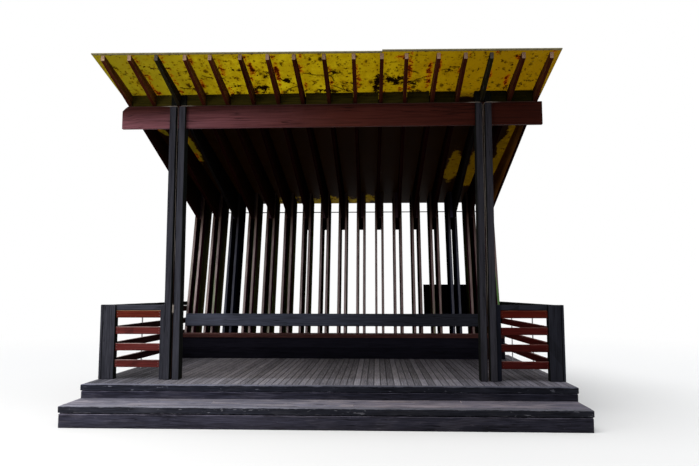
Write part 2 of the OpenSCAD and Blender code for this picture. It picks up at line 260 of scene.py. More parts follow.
class SharedEffects:
    """Shader node groups that several materials use, each built once."""

    def __init__(self) -> None:
        """Starts with no group built."""
        self.built: dict[str, bpy.types.NodeTree] = {}

    def use(self, graph: Graph, name: str, **values: object) -> bpy.types.bpy_prop_collection:
        """Places a group in a material's tree.

        Args:
            graph: The tree that gets the group.
            name: The effect's name, which is also its method here.
            values: What its inputs get.

        Returns:
            The outputs of the group, by name.
        """
        if name not in self.built:
            tree = bpy.data.node_groups.new(name, "ShaderNodeTree")
            getattr(self, "_" + name)(tree)
            self.built[name] = tree
        made = graph.node("Group")
        made.node_tree = self.built[name]
        for key, value in values.items():
            graph.feed(made.inputs[key.capitalize()], value)
        return made.outputs

    @staticmethod
    def _sockets(tree: bpy.types.NodeTree, inputs: dict[str, str],
                 *outputs: str) -> tuple[Graph, dict[str, Socket], dict[str, Socket]]:
        """Declares a group's sockets.

        Args:
            tree: The group.
            inputs: Names and kinds of its inputs.
            outputs: Names of its outputs, all plain values.

        Returns:
            The group's graph and the inside ends of its inputs and outputs, by name.
        """
        for name, kind in inputs.items():
            tree.interface.new_socket(name=name, in_out="INPUT", socket_type="NodeSocket" + kind)
        for name in outputs:
            tree.interface.new_socket(name=name, in_out="OUTPUT", socket_type="NodeSocketFloat")
        start = tree.nodes.new("NodeGroupInput")
        end = tree.nodes.new("NodeGroupOutput")
        return (Graph(tree), {n: start.outputs[n] for n in inputs},
                {n: end.inputs[n] for n in outputs})

    @staticmethod
    def _own_place(g: Graph, ins: dict[str, Socket], way: Colour) -> Socket:
        """Returns the place, moved along a direction by the board's seed."""
        return g.vector("ADD", ins["Place"], g.vector("SCALE", way, ins["Seed"]))

    def _board_grain(self, tree: bpy.types.NodeTree) -> None:
        """Wires wood grain that runs along the first axis of a board."""
        g, ins, outs = self._sockets(
            tree, {"Place": "Vector", "Seed": "Float", "Along": "Float", "Across": "Float"},
            "Streak", "Fibre", "Crack")
        start = self._own_place(g, ins, (13.1, 7.7, 3.3))
        stretch = g.node("CombineXYZ")
        for target, name in zip(stretch.inputs, ("Along", "Across", "Across")):
            g.feed(target, ins[name])
        stretched = g.vector("MULTIPLY", start, stretch.outputs[0])
        g.feed(outs["Streak"], g.noise(stretched, 1.0, 4.0, 0.6, 0.5))
        g.feed(outs["Fibre"], g.noise(g.vector("MULTIPLY", stretched, (3.0, 5.0, 5.0)), 1.0))
        wavy = g.noise(g.vector("MULTIPLY", stretched, (0.45, 0.5, 0.5)), 1.0, 3.0, 0.5, 0.3)
        some = g.band(g.noise(g.vector("SCALE", start, 1.7), 1.0, 1.0), 0.48, 0.56)
        g.feed(outs["Crack"], g.times(g.band(g.apart(wavy, 0.5), 0.013, 0.003), some))

    def _edge_wear(self, tree: bpy.types.NodeTree) -> None:
        """Wires masks of the worn edges, the top rim and the long joints of a board."""
        g, ins, outs = self._sockets(
            tree, {"Place": "Vector", "Half": "Vector", "Seed": "Float", "Width": "Float"},
            "Edge", "Rim", "Joint")
        away = g.vector("SUBTRACT", ins["Half"], g.vector("ABSOLUTE", ins["Place"]))
        x, y, z = g.split(away)
        total = g.plus(g.plus(x, y), z)
        least = g.math("MINIMUM", g.math("MINIMUM", x, y), z)
        middle = g.minus(g.minus(total, least), g.most(g.most(x, y), z))
        broken = g.noise(self._own_place(g, ins, (5.3, 1.9, 8.1)), 14.0, 4.0, 0.65)
        reach = g.times(ins["Width"], g.band(broken, 0.38, 0.72, 0.05, 2.2))
        g.feed(outs["Edge"], g.band(middle, reach, 0.0))
        top = g.split(g.vector("SUBTRACT", ins["Half"], ins["Place"]))[2]
        g.feed(outs["Rim"], g.band(top, g.times(reach, 2.0), 0.0))
        g.feed(outs["Joint"], g.band(y, 0.011, 0.002))

    def _blotches(self, tree: bpy.types.NodeTree) -> None:
        """Wires soft patches, longer along the grain, with a chosen size and threshold."""
        g, ins, outs = self._sockets(
            tree, {"Place": "Vector", "Seed": "Float", "Scale": "Float", "Start": "Float",
                   "End": "Float"}, "Mask")
        start = self._own_place(g, ins, (2.7, 9.1, 4.9))
        scaled = g.vector("MULTIPLY", g.vector("SCALE", start, ins["Scale"]), (0.4, 1.3, 1.3))
        g.feed(outs["Mask"], g.band(g.noise(scaled, 1.0, 4.0, 0.6, 0.2), ins["Start"], ins["End"]))

    def _facing(self, tree: bpy.types.NodeTree) -> None:
        """Wires masks of the faces that look up, down, to the front, and to or from the middle."""
        g, _, outs = self._sockets(tree, {}, "Up", "Under", "Front", "Inward", "Outward")
        x, y, z = g.split(g.node("NewGeometry").outputs["Normal"])
        away = g.times(x, g.split(g.place())[0])
        for name, value, low, high in (("Up", z, 0.45, 0.85), ("Under", z, -0.6, -0.9),
                                       ("Front", y, -0.6, -0.9), ("Inward", away, -0.01, -0.05),
                                       ("Outward", away, 0.01, 0.05)):
            g.feed(outs[name], g.band(value, low, high))

    def _specks(self, tree: bpy.types.NodeTree) -> None:
        """Wires scattered ragged crumbs, a given share of the cells of a grid."""
        g, ins, outs = self._sockets(
            tree, {"Place": "Vector", "Scale": "Float", "Share": "Float"}, "Mask", "Halo")
        bent = g.node("TexNoise")
        g.feed(bent.inputs["Vector"], ins["Place"])
        g.feed(bent.inputs["Scale"], g.times(ins["Scale"], 2.2))
        g.feed(bent.inputs["Detail"], 3.0)
        shift = g.vector("SCALE", g.vector("SUBTRACT", bent.outputs["Color"], (0.5, 0.5, 0.5)), 1.1)
        place = g.vector("ADD", g.vector("SCALE", ins["Place"], ins["Scale"]), shift)
        cells = g.node("TexVoronoi", feature="F1")
        g.feed(cells.inputs["Scale"], 1.0)
        g.feed(cells.inputs["Vector"], g.vector("MULTIPLY", place, (1.25, 0.72, 1.0)))
        chance, size, _ = g.split(cells.outputs["Color"])
        there = g.math("LESS_THAN", chance, ins["Share"])
        reach = g.times(g.band(size, 0.0, 1.0, 0.14, 0.50), there)
        away = cells.outputs["Distance"]
        g.feed(outs["Mask"], g.band(away, reach, g.times(reach, 0.7)))
        g.feed(outs["Halo"], g.band(away, g.times(reach, 1.9), reach))

    def _ramp(self, tree: bpy.types.NodeTree) -> None:
        """Wires a ragged change across the whole bandstand, along a given direction."""
        g, ins, outs = self._sockets(
            tree, {"Along": "Vector", "Start": "Float", "End": "Float", "Ragged": "Float"}, "Mask")
        place = g.place()
        rough = g.minus(g.noise(place, 3.5, 5.0, 0.7), 0.5)
        way = g.vector("DOT_PRODUCT", place, ins["Along"])
        shifted = g.plus(way, g.times(rough, ins["Ragged"]))
        g.feed(outs["Mask"], g.band(shifted, ins["Start"], ins["End"]))


EFFECTS = SharedEffects()


# Finishes


class Source(Enum):
    """Where a finish finds the direction of a piece's grain."""

    BOARDS = "boards"
    SOLID_ACROSS = "across"
    SOLID_BACK = "back"


GRAIN_TURNS = {
    Source.SOLID_ACROSS: (0.0, 0.0, 0.0),
    Source.SOLID_BACK: (0.0, 0.0, math.pi / 2),
}


def new_material(name: str, roughness: float,
                 gloss: float) -> tuple[bpy.types.Material, Graph, bpy.types.Node]:
    """Makes a material with a lone Principled shader.

    Args:
        name: The material's name.
        roughness: The shader's roughness, from 0 to 1.
        gloss: The strength of its gloss, from 0 to 1.

    Returns:
        The material, its graph and its shader.
    """
    material = bpy.data.materials.new(name)
    material.use_nodes = True
    shader = material.node_tree.nodes["Principled BSDF"]
    shader.inputs["Roughness"].default_value = roughness
    shader.inputs["Specular IOR Level"].default_value = gloss
    return material, Graph(material.node_tree), shader


def add_bump(graph: Graph, shader: bpy.types.Node, height: Socket, depth: float) -> None:
    """Gives a shader a bump.

    Args:
        graph: The shader's graph.
        shader: The shader.
        height: How high each place is, from 0 to 1.
        depth: The bump's depth in metres.
    """
    bump = graph.node("Bump")
    graph.feed(bump.inputs["Distance"], depth)
    graph.feed(bump.inputs["Height"], height)
    graph.feed(shader.inputs["Normal"], bump.outputs[0])


def blend_shaders(graph: Graph, factor: object, under: bpy.types.Node, over: bpy.types.Node,
                  output: bpy.types.Node) -> None:
    """Mixes two shaders at a material's output.

    Args:
        graph: The material's graph.
        factor: How much of the second one shows.
        under: The first shader.
        over: The second shader.
        output: The material's output.
    """
    blend = graph.node("MixShader")
    for target, value in enumerate((factor, under.outputs[0], over.outputs[0])):
        graph.feed(blend.inputs[target], value)
    graph.feed(output.inputs["Surface"], blend.outputs[0])


@dataclass(frozen=True)
class PlainFinish:
    """A finish of one colour with cloudy wear."""

    name: str
    colour: Colour
    roughness: float
    slot: str = ""

    @cache
    def material(self) -> bpy.types.Material:
        """Builds the finish.

        Returns:
            The material.
        """
        material, g, shader = new_material(self.name, self.roughness, 0.08)
        cloud = g.noise(g.place(), 30.0, 4.0)
        worn = tuple(c * 0.6 for c in self.colour)
        g.feed(shader.inputs["Base Color"], g.mix(g.band(cloud, 0.4, 0.7), self.colour, worn))
        add_bump(g, shader, cloud, 0.0006)
        return material


@dataclass(frozen=True)
class Ramp:
    """A change of tint along a direction of the whole bandstand, mostly painted light and shade.

    The tint multiplies the colour from end onwards. Ragged is how far the
    change strays from a straight line. Where facing is named, only the faces
    that look that way change.
    """

    along: Colour
    start: float
    end: float
    tint: Colour
    ragged: float = 0.1
    facing: str = ""


@dataclass(frozen=True)
class TimberFinish:
    """Stained wood, how it has weathered, and light and shade painted into its colour.

    Colours are linear. Second is a tint for boards of the other kind, on the faces that
    second_facing names, and facings are tints for all boards. In many finishes these tints and the
    ramps are painted light and shade, and in some so are the colours of the upward and front faces.
    Amounts run from 0 to 1, and widths are in metres.
    """

    name: str
    slot: str
    stain: Colour
    grain: Colour
    faded: Colour
    bare: Colour
    up_faces: Colour
    second: Colour | None = None
    second_facing: str = ""
    facings: tuple[tuple[str, Colour], ...] = ()
    front: Colour | None = None
    ramps: tuple[Ramp, ...] = ()
    grain_amount: float = 0.6
    fade_amount: float = 0.4
    up_faces_amount: float = 0.5
    edge_width: float = 0.006
    edge_amount: float = 0.6
    chip_amount: float = 0.0
    rim_amount: float = 0.0
    joint_amount: float = 0.0
    scuff_amount: float = 0.0
    crack_amount: float = 0.5
    tone_amount: float = 0.25
    fibre_amount: float = 0.22
    roughness: float = 0.7
    gloss: float = 0.05
    along: float = 1.6
    across: float = 34.0
    relief: float = 0.0012

    @cache
    def material(self, source: Source = Source.BOARDS) -> bpy.types.Material:
        """Builds the finish.

        Args:
            source: Where the direction of the grain comes from.

        Returns:
            The material.
        """
        material, g, shader = new_material(f"{self.name}_{source.value}", self.roughness,
                                           self.gloss)
        place, half, seed, tone, kind = self._places(g, source)
        grain = EFFECTS.use(g, "board_grain", place=place, seed=seed, along=self.along,
                            across=self.across)
        streak, fibre, crack = (grain[n] for n in ("Streak", "Fibre", "Crack"))
        edges = EFFECTS.use(g, "edge_wear", place=place, half=half, seed=seed,
                            width=self.edge_width)
        facing = EFFECTS.use(g, "facing")
        colour = self._stained(g, place, seed, streak, fibre, facing)
        kept = g.minus(1.0, g.times(kind, 0.8))
        wear = g.times(self._wear(g, edges, place, seed), kept)
        if self.scuff_amount:
            patch = EFFECTS.use(g, "blotches", place=place, seed=seed, scale=4.5, start=0.2,
                                end=0.8)[0]
            rubbed = g.band(g.plus(patch, g.times(streak, 1.3)), 1.12, 1.42)
            wear = g.most(wear, g.times(rubbed, self.scuff_amount))
        colour = g.mix(wear, colour, self.bare)
        seam = g.times(edges["Joint"], self.joint_amount)
        split = g.most(g.times(crack, self.crack_amount), seam)
        colour = g.mix(split, colour, g.vector("SCALE", colour, 0.25))
        colour = self._tinted(g, colour, kind, facing)
        bright = g.band(fibre, 0.3, 0.7, 1.0 - self.fibre_amount, 1.0 + self.fibre_amount)
        lift = g.plus(g.times(tone, self.tone_amount), bright)
        g.feed(shader.inputs["Base Color"], g.vector("SCALE", colour, lift))
        g.feed(shader.inputs["Roughness"],
               g.band(streak, 0.2, 0.8, self.roughness - 0.08, self.roughness + 0.1))
        height = g.plus(g.times(streak, 0.7), g.times(fibre, 0.3))
        sunk = g.plus(g.times(wear, 0.35), g.times(split, 1.5))
        add_bump(g, shader, g.minus(height, sunk), self.relief)
        return material

    @staticmethod
    def _places(g: Graph, source: Source) -> tuple[object, ...]:
        """Finds where a point lies in its board.

        Args:
            g: The material's graph.
            source: Where the direction of the grain comes from.

        Returns:
            The place, half size, seed, tone and kind, as sockets or plain values.
        """
        if source is Source.BOARDS:
            seed, tone, kind = g.split(g.attribute("board_trait"))
            return g.attribute("board_place"), g.attribute("board_half"), seed, tone, kind
        turned = g.node("Mapping", vector_type="POINT")
        g.feed(turned.inputs["Vector"], g.place())
        g.feed(turned.inputs["Rotation"], GRAIN_TURNS[source])
        return turned.outputs[0], (9.0, 9.0, 9.0), 3.0, 0.0, 0.0

    def _stained(self, g: Graph, place: object, seed: object, streak: Socket, fibre: Socket,
                 facing: bpy.types.bpy_prop_collection) -> Socket:
        """Colours the wood with its stain, its grain, faded patches and its own colours for the
        upward and front faces, which stand for weathering in some finishes and for painted light
        and shade in others.

        Args:
            g: The material's graph.
            place: The place in the board.
            seed: The board's seed.
            streak: The broad grain.
            fibre: The fine grain.
            facing: The masks of the faces by the way they look.

        Returns:
            The colour.
        """
        dark = g.times(g.band(streak, 0.45, 0.62), self.grain_amount)
        colour = g.mix(dark, self.stain, self.grain)
        cloud = EFFECTS.use(g, "blotches", place=place, seed=seed, scale=2.3, start=0.42,
                            end=0.75)[0]
        colour = g.mix(g.times(cloud, self.fade_amount), colour, self.faded)
        faint = g.band(fibre, 0.2, 0.8, 0.7, 1.0)
        up_faces = g.times(g.times(facing["Up"], faint), self.up_faces_amount)
        # In some finishes the upward faces' colour is not weathering: on the rails it is partly a
        # painted highlight, and on the top rails it is nearly black.
        colour = g.mix(up_faces, colour, self.up_faces)
        if self.front is not None:
            colour = g.mix(g.times(facing["Front"], faint), colour, self.front)
        return colour

    def _wear(self, g: Graph, edges: bpy.types.bpy_prop_collection, place: object,
              seed: object) -> Socket:
        """Finds the bare wood along the edges, on the top rim and in chips.

        Args:
            g: The material's graph.
            edges: The masks of the edges.
            place: The place in the board.
            seed: The board's seed.

        Returns:
            The mask of the bare wood.
        """
        chips = EFFECTS.use(g, "blotches", place=place, seed=seed, scale=22.0, start=0.64,
                            end=0.69)[0]
        edge = g.times(edges["Edge"], self.edge_amount)
        rim = g.times(edges["Rim"], self.rim_amount)
        return g.most(g.most(edge, rim), g.times(chips, self.chip_amount))

    def _tinted(self, g: Graph, colour: Socket, kind: object,
                facing: bpy.types.bpy_prop_collection) -> Socket:
        """Tints the wood by the board's kind, the way a face looks and the place. Most of these
        tints are painted light and shade.

        Args:
            g: The material's graph.
            colour: The colour so far.
            kind: The board's kind, 0 or 1.
            facing: The masks of the faces by the way they look.

        Returns:
            The colour.
        """
        if self.second is not None:
            if self.second_facing:
                kind = g.times(kind, facing[self.second_facing])
            colour = g.tint(kind, colour, self.second)
        for way, tint in self.facings:
            colour = g.tint(facing[way], colour, tint)
        for ramp in self.ramps:
            mask = EFFECTS.use(g, "ramp", along=ramp.along, start=ramp.start, end=ramp.end,
                               ragged=ramp.ragged)[0]
            if ramp.facing:
                mask = g.times(mask, facing[ramp.facing])
            colour = g.tint(mask, colour, ramp.tint)
        return colour


ACROSS_FRONT: Colour = (1.0, 0.0, 0.0)
TO_BACK: Colour = (0.0, 1.0, 0.0)
UPWARDS: Colour = (0.0, 0.0, 1.0)

PALE_STRIP = PlainFinish("pale_strip", (0.27, 0.235, 0.12), 0.5)
DARK_METAL = PlainFinish("dark_metal", (0.010, 0.010, 0.010), 0.5)
DULL_METAL = PlainFinish("dull_metal", (0.55, 0.55, 0.56), 0.4, "strap_metal")
# The step's boards, skirts and timbers are painted darker to the right, as shade.
STEP_STAIN_AND_PAINTED_SHADE = TimberFinish(
    "step_stain_and_painted_shade", "dark_timber", stain=(0.024, 0.025, 0.035), grain=(0.010, 0.010, 0.014),
    faded=(0.040, 0.040, 0.053), second=(2.05, 1.90, 2.00), bare=(0.34, 0.33, 0.37),
    up_faces=(0.19, 0.187, 0.235),
    up_faces_amount=0.9, edge_width=0.006, edge_amount=0.55, chip_amount=0.5, scuff_amount=0.05,
    rim_amount=0.3, crack_amount=0.85, fibre_amount=0.42,
    ramps=(Ramp(UPWARDS, 0.09, 0.0, (0.75, 0.74, 0.70), 0.12),
           Ramp(UPWARDS, 0.25, 0.30, (0.80, 0.82, 0.88), 0.02),
           Ramp(ACROSS_FRONT, -1.7, 1.3, (0.48, 0.48, 0.48), 0.3)))
# The tread is painted darker to the right, as shade.
TREAD_STAIN_AND_PAINTED_SHADE = TimberFinish(
    "tread_stain_and_painted_shade", "deck_timber", stain=(0.152, 0.148, 0.188), grain=(0.072, 0.069, 0.087),
    faded=(0.23, 0.215, 0.25), bare=(0.46, 0.41, 0.42), up_faces=(0.18, 0.176, 0.22),
    up_faces_amount=0.35, edge_width=0.008, edge_amount=0.8, chip_amount=0.6, scuff_amount=0.3,
    joint_amount=0.7, crack_amount=0.85, fibre_amount=0.30, across=26.0,
    ramps=(Ramp(ACROSS_FRONT, -0.4, 1.0, (0.98, 0.91, 0.88), 0.2),
           Ramp(ACROSS_FRONT, 1.0, 2.9, (0.72, 0.74, 0.78), 0.4)))
# Painted shade: the deck gets darker to the right and at its left end, where the railings' shadows
# fall.
DECK_STAIN_AND_PAINTED_SHADE = TimberFinish(
    "deck_stain_and_painted_shade", "deck_timber", stain=(0.212, 0.20, 0.225), grain=(0.090, 0.083, 0.090),
    faded=(0.30, 0.28, 0.30), bare=(0.30, 0.28, 0.29), up_faces=(0.18, 0.172, 0.198),
    up_faces_amount=0.35, edge_width=0.005, edge_amount=0.3, chip_amount=0.4, scuff_amount=0.3,
    joint_amount=0.6, tone_amount=0.35, fibre_amount=0.28, across=30.0,
    ramps=(Ramp(TO_BACK, -1.43, -1.30, (0.72, 0.69, 0.66), 0.10),
           Ramp(ACROSS_FRONT, 0.5, 2.2, (0.62, 0.62, 0.66), 0.5),
           Ramp(ACROSS_FRONT, -1.8, -2.5, (0.60, 0.62, 0.66), 0.3)))
# Painted shade: the faces that look to the middle and the core's boards above the beam, which are
# the second kind, are darkened, and the whole frame gets darker to the right.
FRAME_STAIN_AND_PAINTED_SHADE = TimberFinish(
    "frame_stain_and_painted_shade", "frame_timber", stain=(0.044, 0.044, 0.056), grain=(0.018, 0.018, 0.024),
    faded=(0.060, 0.060, 0.075), bare=(0.13, 0.125, 0.14), up_faces=(0.12, 0.125, 0.15),
    second=(0.15, 0.17, 0.11), facings=(("Inward", (0.17, 0.19, 0.13)),),
    up_faces_amount=0.7, edge_width=0.004, edge_amount=0.4,
    crack_amount=0.8, tone_amount=0.1, across=40.0,
    ramps=(Ramp(ACROSS_FRONT, -1.0, 2.1, (0.72, 0.69, 0.67), 0.2),))
# Painted shade: the inner post on the right, which is the second kind, is darkened, as are the
# faces that look to the middle, and the railing gets darker to the right.
RAILING_STAIN_AND_PAINTED_SHADE = replace(
    FRAME_STAIN_AND_PAINTED_SHADE, name="railing_stain_and_painted_shade", up_faces=(0.10, 0.10, 0.12), second=(0.42, 0.45, 0.58),
    ramps=(Ramp(ACROSS_FRONT, 0.0, 2.2, (0.40, 0.41, 0.44), 0.2),))
# The top rails keep the railing's painted shade, and their upward faces are nearly black.
TOP_RAIL_STAIN_AND_PAINTED_SHADE = replace(
    RAILING_STAIN_AND_PAINTED_SHADE, name="top_rail_stain", stain=(0.050, 0.051, 0.066), up_faces=(0.008, 0.008, 0.010),
    up_faces_amount=0.95)
# Painted shade: the undersides are darkened, and all faces get darker behind the beam, under the
# roof.
DARK_RAFTER_STAIN_AND_PAINTED_SHADE = replace(
    FRAME_STAIN_AND_PAINTED_SHADE, name="dark_rafter_stain_and_painted_shade", stain=(0.026, 0.020, 0.008),
    grain=(0.012, 0.009, 0.004), faded=(0.036, 0.028, 0.012), front=(0.11, 0.095, 0.08), gloss=0.0,
    facings=(("Under", (0.75, 0.80, 0.85)),),
    ramps=(Ramp(TO_BACK, -1.75, -1.35, (0.35, 0.33, 0.60), 0.2),))
# Painted shade: the fins get darker towards the top, under the roof.
DARK_FIN_STAIN_AND_PAINTED_SHADE = replace(
    FRAME_STAIN_AND_PAINTED_SHADE, name="dark_fin_stain_and_painted_shade", stain=(0.010, 0.013, 0.032), grain=(0.005, 0.007, 0.016),
    faded=(0.016, 0.020, 0.042), front=(0.12, 0.12, 0.15), gloss=0.0, facings=(),
    ramps=(Ramp(UPWARDS, 2.2, 3.0, (0.25, 0.20, 0.16), 0.2),))
# Painted shade: the back rail gets darker to the right, with the frame's darker faces that look to
# the middle.
BACK_RAIL_STAIN_AND_PAINTED_SHADE = replace(
    FRAME_STAIN_AND_PAINTED_SHADE, name="back_rail_stain_and_painted_shade", stain=(0.088, 0.095, 0.134), grain=(0.045, 0.049, 0.065),
    faded=(0.108, 0.116, 0.152), ramps=(Ramp(ACROSS_FRONT, -0.6, 1.6, (0.30, 0.29, 0.28), 0.3),))
# Painted shade: the beam gets darker to the right, and darker along its top as the roof's shadow.
BEAM_STAIN_AND_PAINTED_SHADE = TimberFinish(
    "beam_stain_and_painted_shade", "beam_timber", stain=(0.210, 0.078, 0.093), grain=(0.125, 0.043, 0.050),
    faded=(0.235, 0.115, 0.140), bare=(0.26, 0.15, 0.16), up_faces=(0.12, 0.07, 0.07),
    edge_width=0.004, edge_amount=0.35, crack_amount=0.9, across=24.0, along=0.8,
    roughness=0.55,
    ramps=(Ramp(ACROSS_FRONT, -2.4, 0.3, (0.36, 0.22, 0.13), 0.4),
           Ramp(ACROSS_FRONT, 0.0, 2.8, (0.38, 0.26, 0.15), 0.4),
           Ramp((-0.04, 0.0, 1.0), 3.84, 4.10, (0.21, 0.13, 0.09), 0.05)))
# Painted light and shade: the undersides are darkened and all faces darker behind the beam, under
# the roof, while the faces that look to the middle are lit on the left, and lit yellow behind the
# beam on the last rafter at the right, as light through the sheets.
RAFTER_STAIN_AND_PAINTED_LIGHT = TimberFinish(
    "rafter_stain_and_painted_light", "rafter_timber", stain=(0.076, 0.025, 0.007), grain=(0.034, 0.010, 0.003),
    faded=(0.100, 0.038, 0.012), bare=(0.20, 0.12, 0.09), up_faces=(0.07, 0.03, 0.02),
    front=(0.44, 0.28, 0.19), edge_width=0.003, edge_amount=0.3, gloss=0.0,
    facings=(("Under", (0.75, 0.50, 0.80)),),
    ramps=(Ramp(TO_BACK, -1.75, -1.35, (0.17, 0.14, 0.25), 0.2),
           Ramp(ACROSS_FRONT, -0.3, -1.2, (1.7, 2.1, 1.7), 0.1, "Inward"),
           Ramp((10.0, 1.0, 0.0), 25.5, 25.9, (11.0, 15.0, 5.5), 0.1, "Inward")))
# Painted shade: the blocking gets darker to the right.
BLOCK_STAIN_AND_PAINTED_SHADE = TimberFinish(
    "block_stain_and_painted_shade", "block_timber", stain=(0.038, 0.030, 0.005), grain=(0.018, 0.015, 0.003),
    faded=(0.05, 0.040, 0.008), bare=(0.08, 0.07, 0.04), up_faces=(0.06, 0.05, 0.02),
    edge_width=0.003, edge_amount=0.15, gloss=0.0,
    ramps=(Ramp(ACROSS_FRONT, 0.2, 2.2, (0.40, 0.44, 0.48), 0.3),))
# Painted light and shade: on the boards behind the front one, the faces that look to the middle are
# olive, as green bounce light; the pale fronts are partly weathered wood and partly light from the
# front; and the fins get darker towards the top, under the roof, and to the right. The faces that
# look outwards are tinted green.
FIN_STAIN_AND_PAINTED_LIGHT = TimberFinish(
    "fin_stain_and_painted_light", "fin_timber", stain=(0.105, 0.020, 0.045), grain=(0.050, 0.010, 0.022),
    faded=(0.120, 0.036, 0.060), bare=(0.18, 0.13, 0.12), up_faces=(0.10, 0.08, 0.07),
    second=(0.85, 3.8, 0.62), second_facing="Inward", front=(0.56, 0.44, 0.42),
    facings=(("Outward", (0.62, 1.75, 0.62)),), edge_width=0.004,
    edge_amount=0.25, gloss=0.0,
    ramps=(Ramp(UPWARDS, 2.2, 3.0, (0.25, 0.20, 0.16), 0.2),
           Ramp(ACROSS_FRONT, -0.6, 1.8, (0.55, 0.50, 0.48), 0.3)))
SEAT_STAIN = TimberFinish(
    "seat_stain", "seat_timber", stain=(0.108, 0.040, 0.035), grain=(0.058, 0.023, 0.020),
    faded=(0.13, 0.064, 0.060), bare=(0.24, 0.15, 0.14), up_faces=(0.10, 0.045, 0.04),
    edge_width=0.005)
BENCH_STAIN = TimberFinish(
    "bench_stain", "bench_timber", stain=(0.012, 0.011, 0.017), grain=(0.007, 0.0065, 0.010),
    faded=(0.015, 0.014, 0.021), bare=(0.03, 0.027, 0.03), up_faces=(0.03, 0.03, 0.04),
    edge_width=0.003, edge_amount=0.3, gloss=0.0)
# Painted light and shade: the pale upward faces and top rims are partly bare, weathered wood and
# partly a highlight where light catches the tops of the rails; the rails get darker to the right,
# and at the left end their faces that look to the middle are darkened.
RAIL_STAIN_AND_PAINTED_LIGHT = TimberFinish(
    "rail_stain_and_painted_light", "rail_timber", stain=(0.132, 0.022, 0.019), grain=(0.078, 0.013, 0.011),
    faded=(0.155, 0.040, 0.037), bare=(0.40, 0.26, 0.24), up_faces=(0.52, 0.40, 0.37),
    second=(1.05, 0.95, 0.56), up_faces_amount=0.95, edge_width=0.0045, edge_amount=0.75,
    rim_amount=0.5, across=30.0,
    ramps=(Ramp(ACROSS_FRONT, -1.0, 2.2, (0.46, 0.27, 0.24), 0.2),
           Ramp(ACROSS_FRONT, -2.2, -2.5, (0.25, 0.40, 0.45), 0.0, "Inward")))
PANEL_STAIN = TimberFinish(
    "panel_stain", "panel_board", stain=(0.008, 0.0068, 0.0068), grain=(0.005, 0.004, 0.004),
    faded=(0.012, 0.010, 0.010), bare=(0.03, 0.028, 0.028), up_faces=(0.03, 0.03, 0.03),
    gloss=0.0)


# Boards


@dataclass(frozen=True)
class Cut:
    """How boards are sawn and how they have moved since.

    bevel is the rounding of the edges, pitch the distance between the rings of
    vertices, wander how far a board strays from a straight line, and rag how
    uneven its edges are.
    """

    bevel: float = 0.003
    pitch: float = 0.25
    wander: float = 0.0015
    rag: float = 0.0004


class Along(Enum):
    """The direction of a board's length, with the turn that brings X there."""

    ACROSS = Matrix.Identity(3)
    BACK = Matrix(((0.0, -1.0, 0.0), (1.0, 0.0, 0.0), (0.0, 0.0, 1.0)))
    UP = Matrix(((0.0, 0.0, -1.0), (0.0, 1.0, 0.0), (1.0, 0.0, 0.0)))


def turned_to(x: Vector, y: Vector) -> Matrix:
    """Returns the turn that brings the first two axes to two directions."""
    return Matrix((x, y, x.cross(y))).transposed().to_4x4()


def raised_to(way: Vector) -> Matrix:
    """Returns the turn that brings the upward axis to a direction."""
    return UP.rotation_difference(way).to_matrix().to_4x4()


def slope(angle: float) -> tuple[Vector, Vector]:
    """Returns the way back along a slope that falls by an angle, and the way up from it."""
    return (Vector((0.0, math.cos(angle), -math.sin(angle))),
            Vector((0.0, math.sin(angle), math.cos(angle))))


def rectangle(long: float, wide: float) -> list[Point]:
    """Returns the corners of a rectangle around the origin, counterclockwise."""
    x, y = long / 2, wide / 2
    return [(-x, -y), (x, -y), (x, y), (-x, y)]


def span(points: Sequence[Point], x: float) -> Point:
    """Measures a convex outline along a line across it.

    Args:
        points: The outline.
        x: Where the line lies.

    Returns:
        The lowest and the highest y.
    """
    tiny = 1e-6
    found: list[float] = []
    for (x0, y0), (x1, y1) in zip(points, [*points[1:], points[0]]):
        if min(x0, x1) - tiny <= x <= max(x0, x1) + tiny:
            upright = abs(x1 - x0) < tiny / 1000
            found += [y0, y1] if upright else [y0 + (y1 - y0) * (x - x0) / (x1 - x0)]
    return (min(found), max(found)) if found else (0.0, 0.0)


def add_cones(mesh: bmesh.types.BMesh, frames: Sequence[Matrix], sides: int, top: float,
              batch_size: int = 48) -> None:
    """Adds unit cones, a batch at a time because an operator walks its whole mesh.

    Args:
        mesh: The mesh that gets them.
        frames: Brings each cone, with a base of radius 1 and a height of 1, to its place.
        sides: How many sides each has.
        top: The radius of its top.
        batch_size: How many are made at a time.
    """
    carrier = bpy.data.meshes.new("cones")
    for start in range(0, len(frames), batch_size):
        batch = bmesh.new()
        for frame in frames[start:start + batch_size]:
            bmesh.ops.create_cone(batch, cap_ends=True, segments=sides, radius1=1.0,
                                  radius2=top, depth=1.0, matrix=frame)
        batch.to_mesh(carrier)
        batch.free()
        mesh.from_mesh(carrier)
    bpy.data.meshes.remove(carrier)


def put(name: str, data: bpy.types.ID) -> bpy.types.Object:
    """Puts a mesh, lamp or camera into the scene, and returns its object."""
    made = bpy.data.objects.new(name, data)
    bpy.context.scene.collection.objects.link(made)
    return made


def put_mesh(name: str, mesh: bmesh.types.BMesh, finish: bpy.types.Material) -> bpy.types.Object:
    """Puts a mesh with its finish into the scene, frees it and returns the object."""
    data = bpy.data.meshes.new(name)
    mesh.to_mesh(data)
    mesh.free()
    data.materials.append(finish)
    return put(name, data)


def add_piece(name: str, mesh: bmesh.types.BMesh, finish: bpy.types.Material, slot: str,
              *nodes: str) -> None:
    """Puts a mesh into the scene as a piece of the bandstand.

    Args:
        name: The piece's name.
        mesh: The mesh, which is freed.
        finish: Its material.
        slot: Not used.
        nodes: The solids that it stands for.
    """
    made = put_mesh(name, mesh, finish)
    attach(made, BODY)
    if nodes:
        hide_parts(*nodes)
    LOG.info("%s stands for %s", name, ", ".join(nodes) or "no solid")


def dress(node: str, finish: bpy.types.Material) -> None:
    """Gives a solid that stays its finish."""
    slots = bpy.data.objects[node].data.materials
    slots.clear()
    slots.append(finish)
    LOG.info("%s keeps its solid, in %s", node, finish.name)


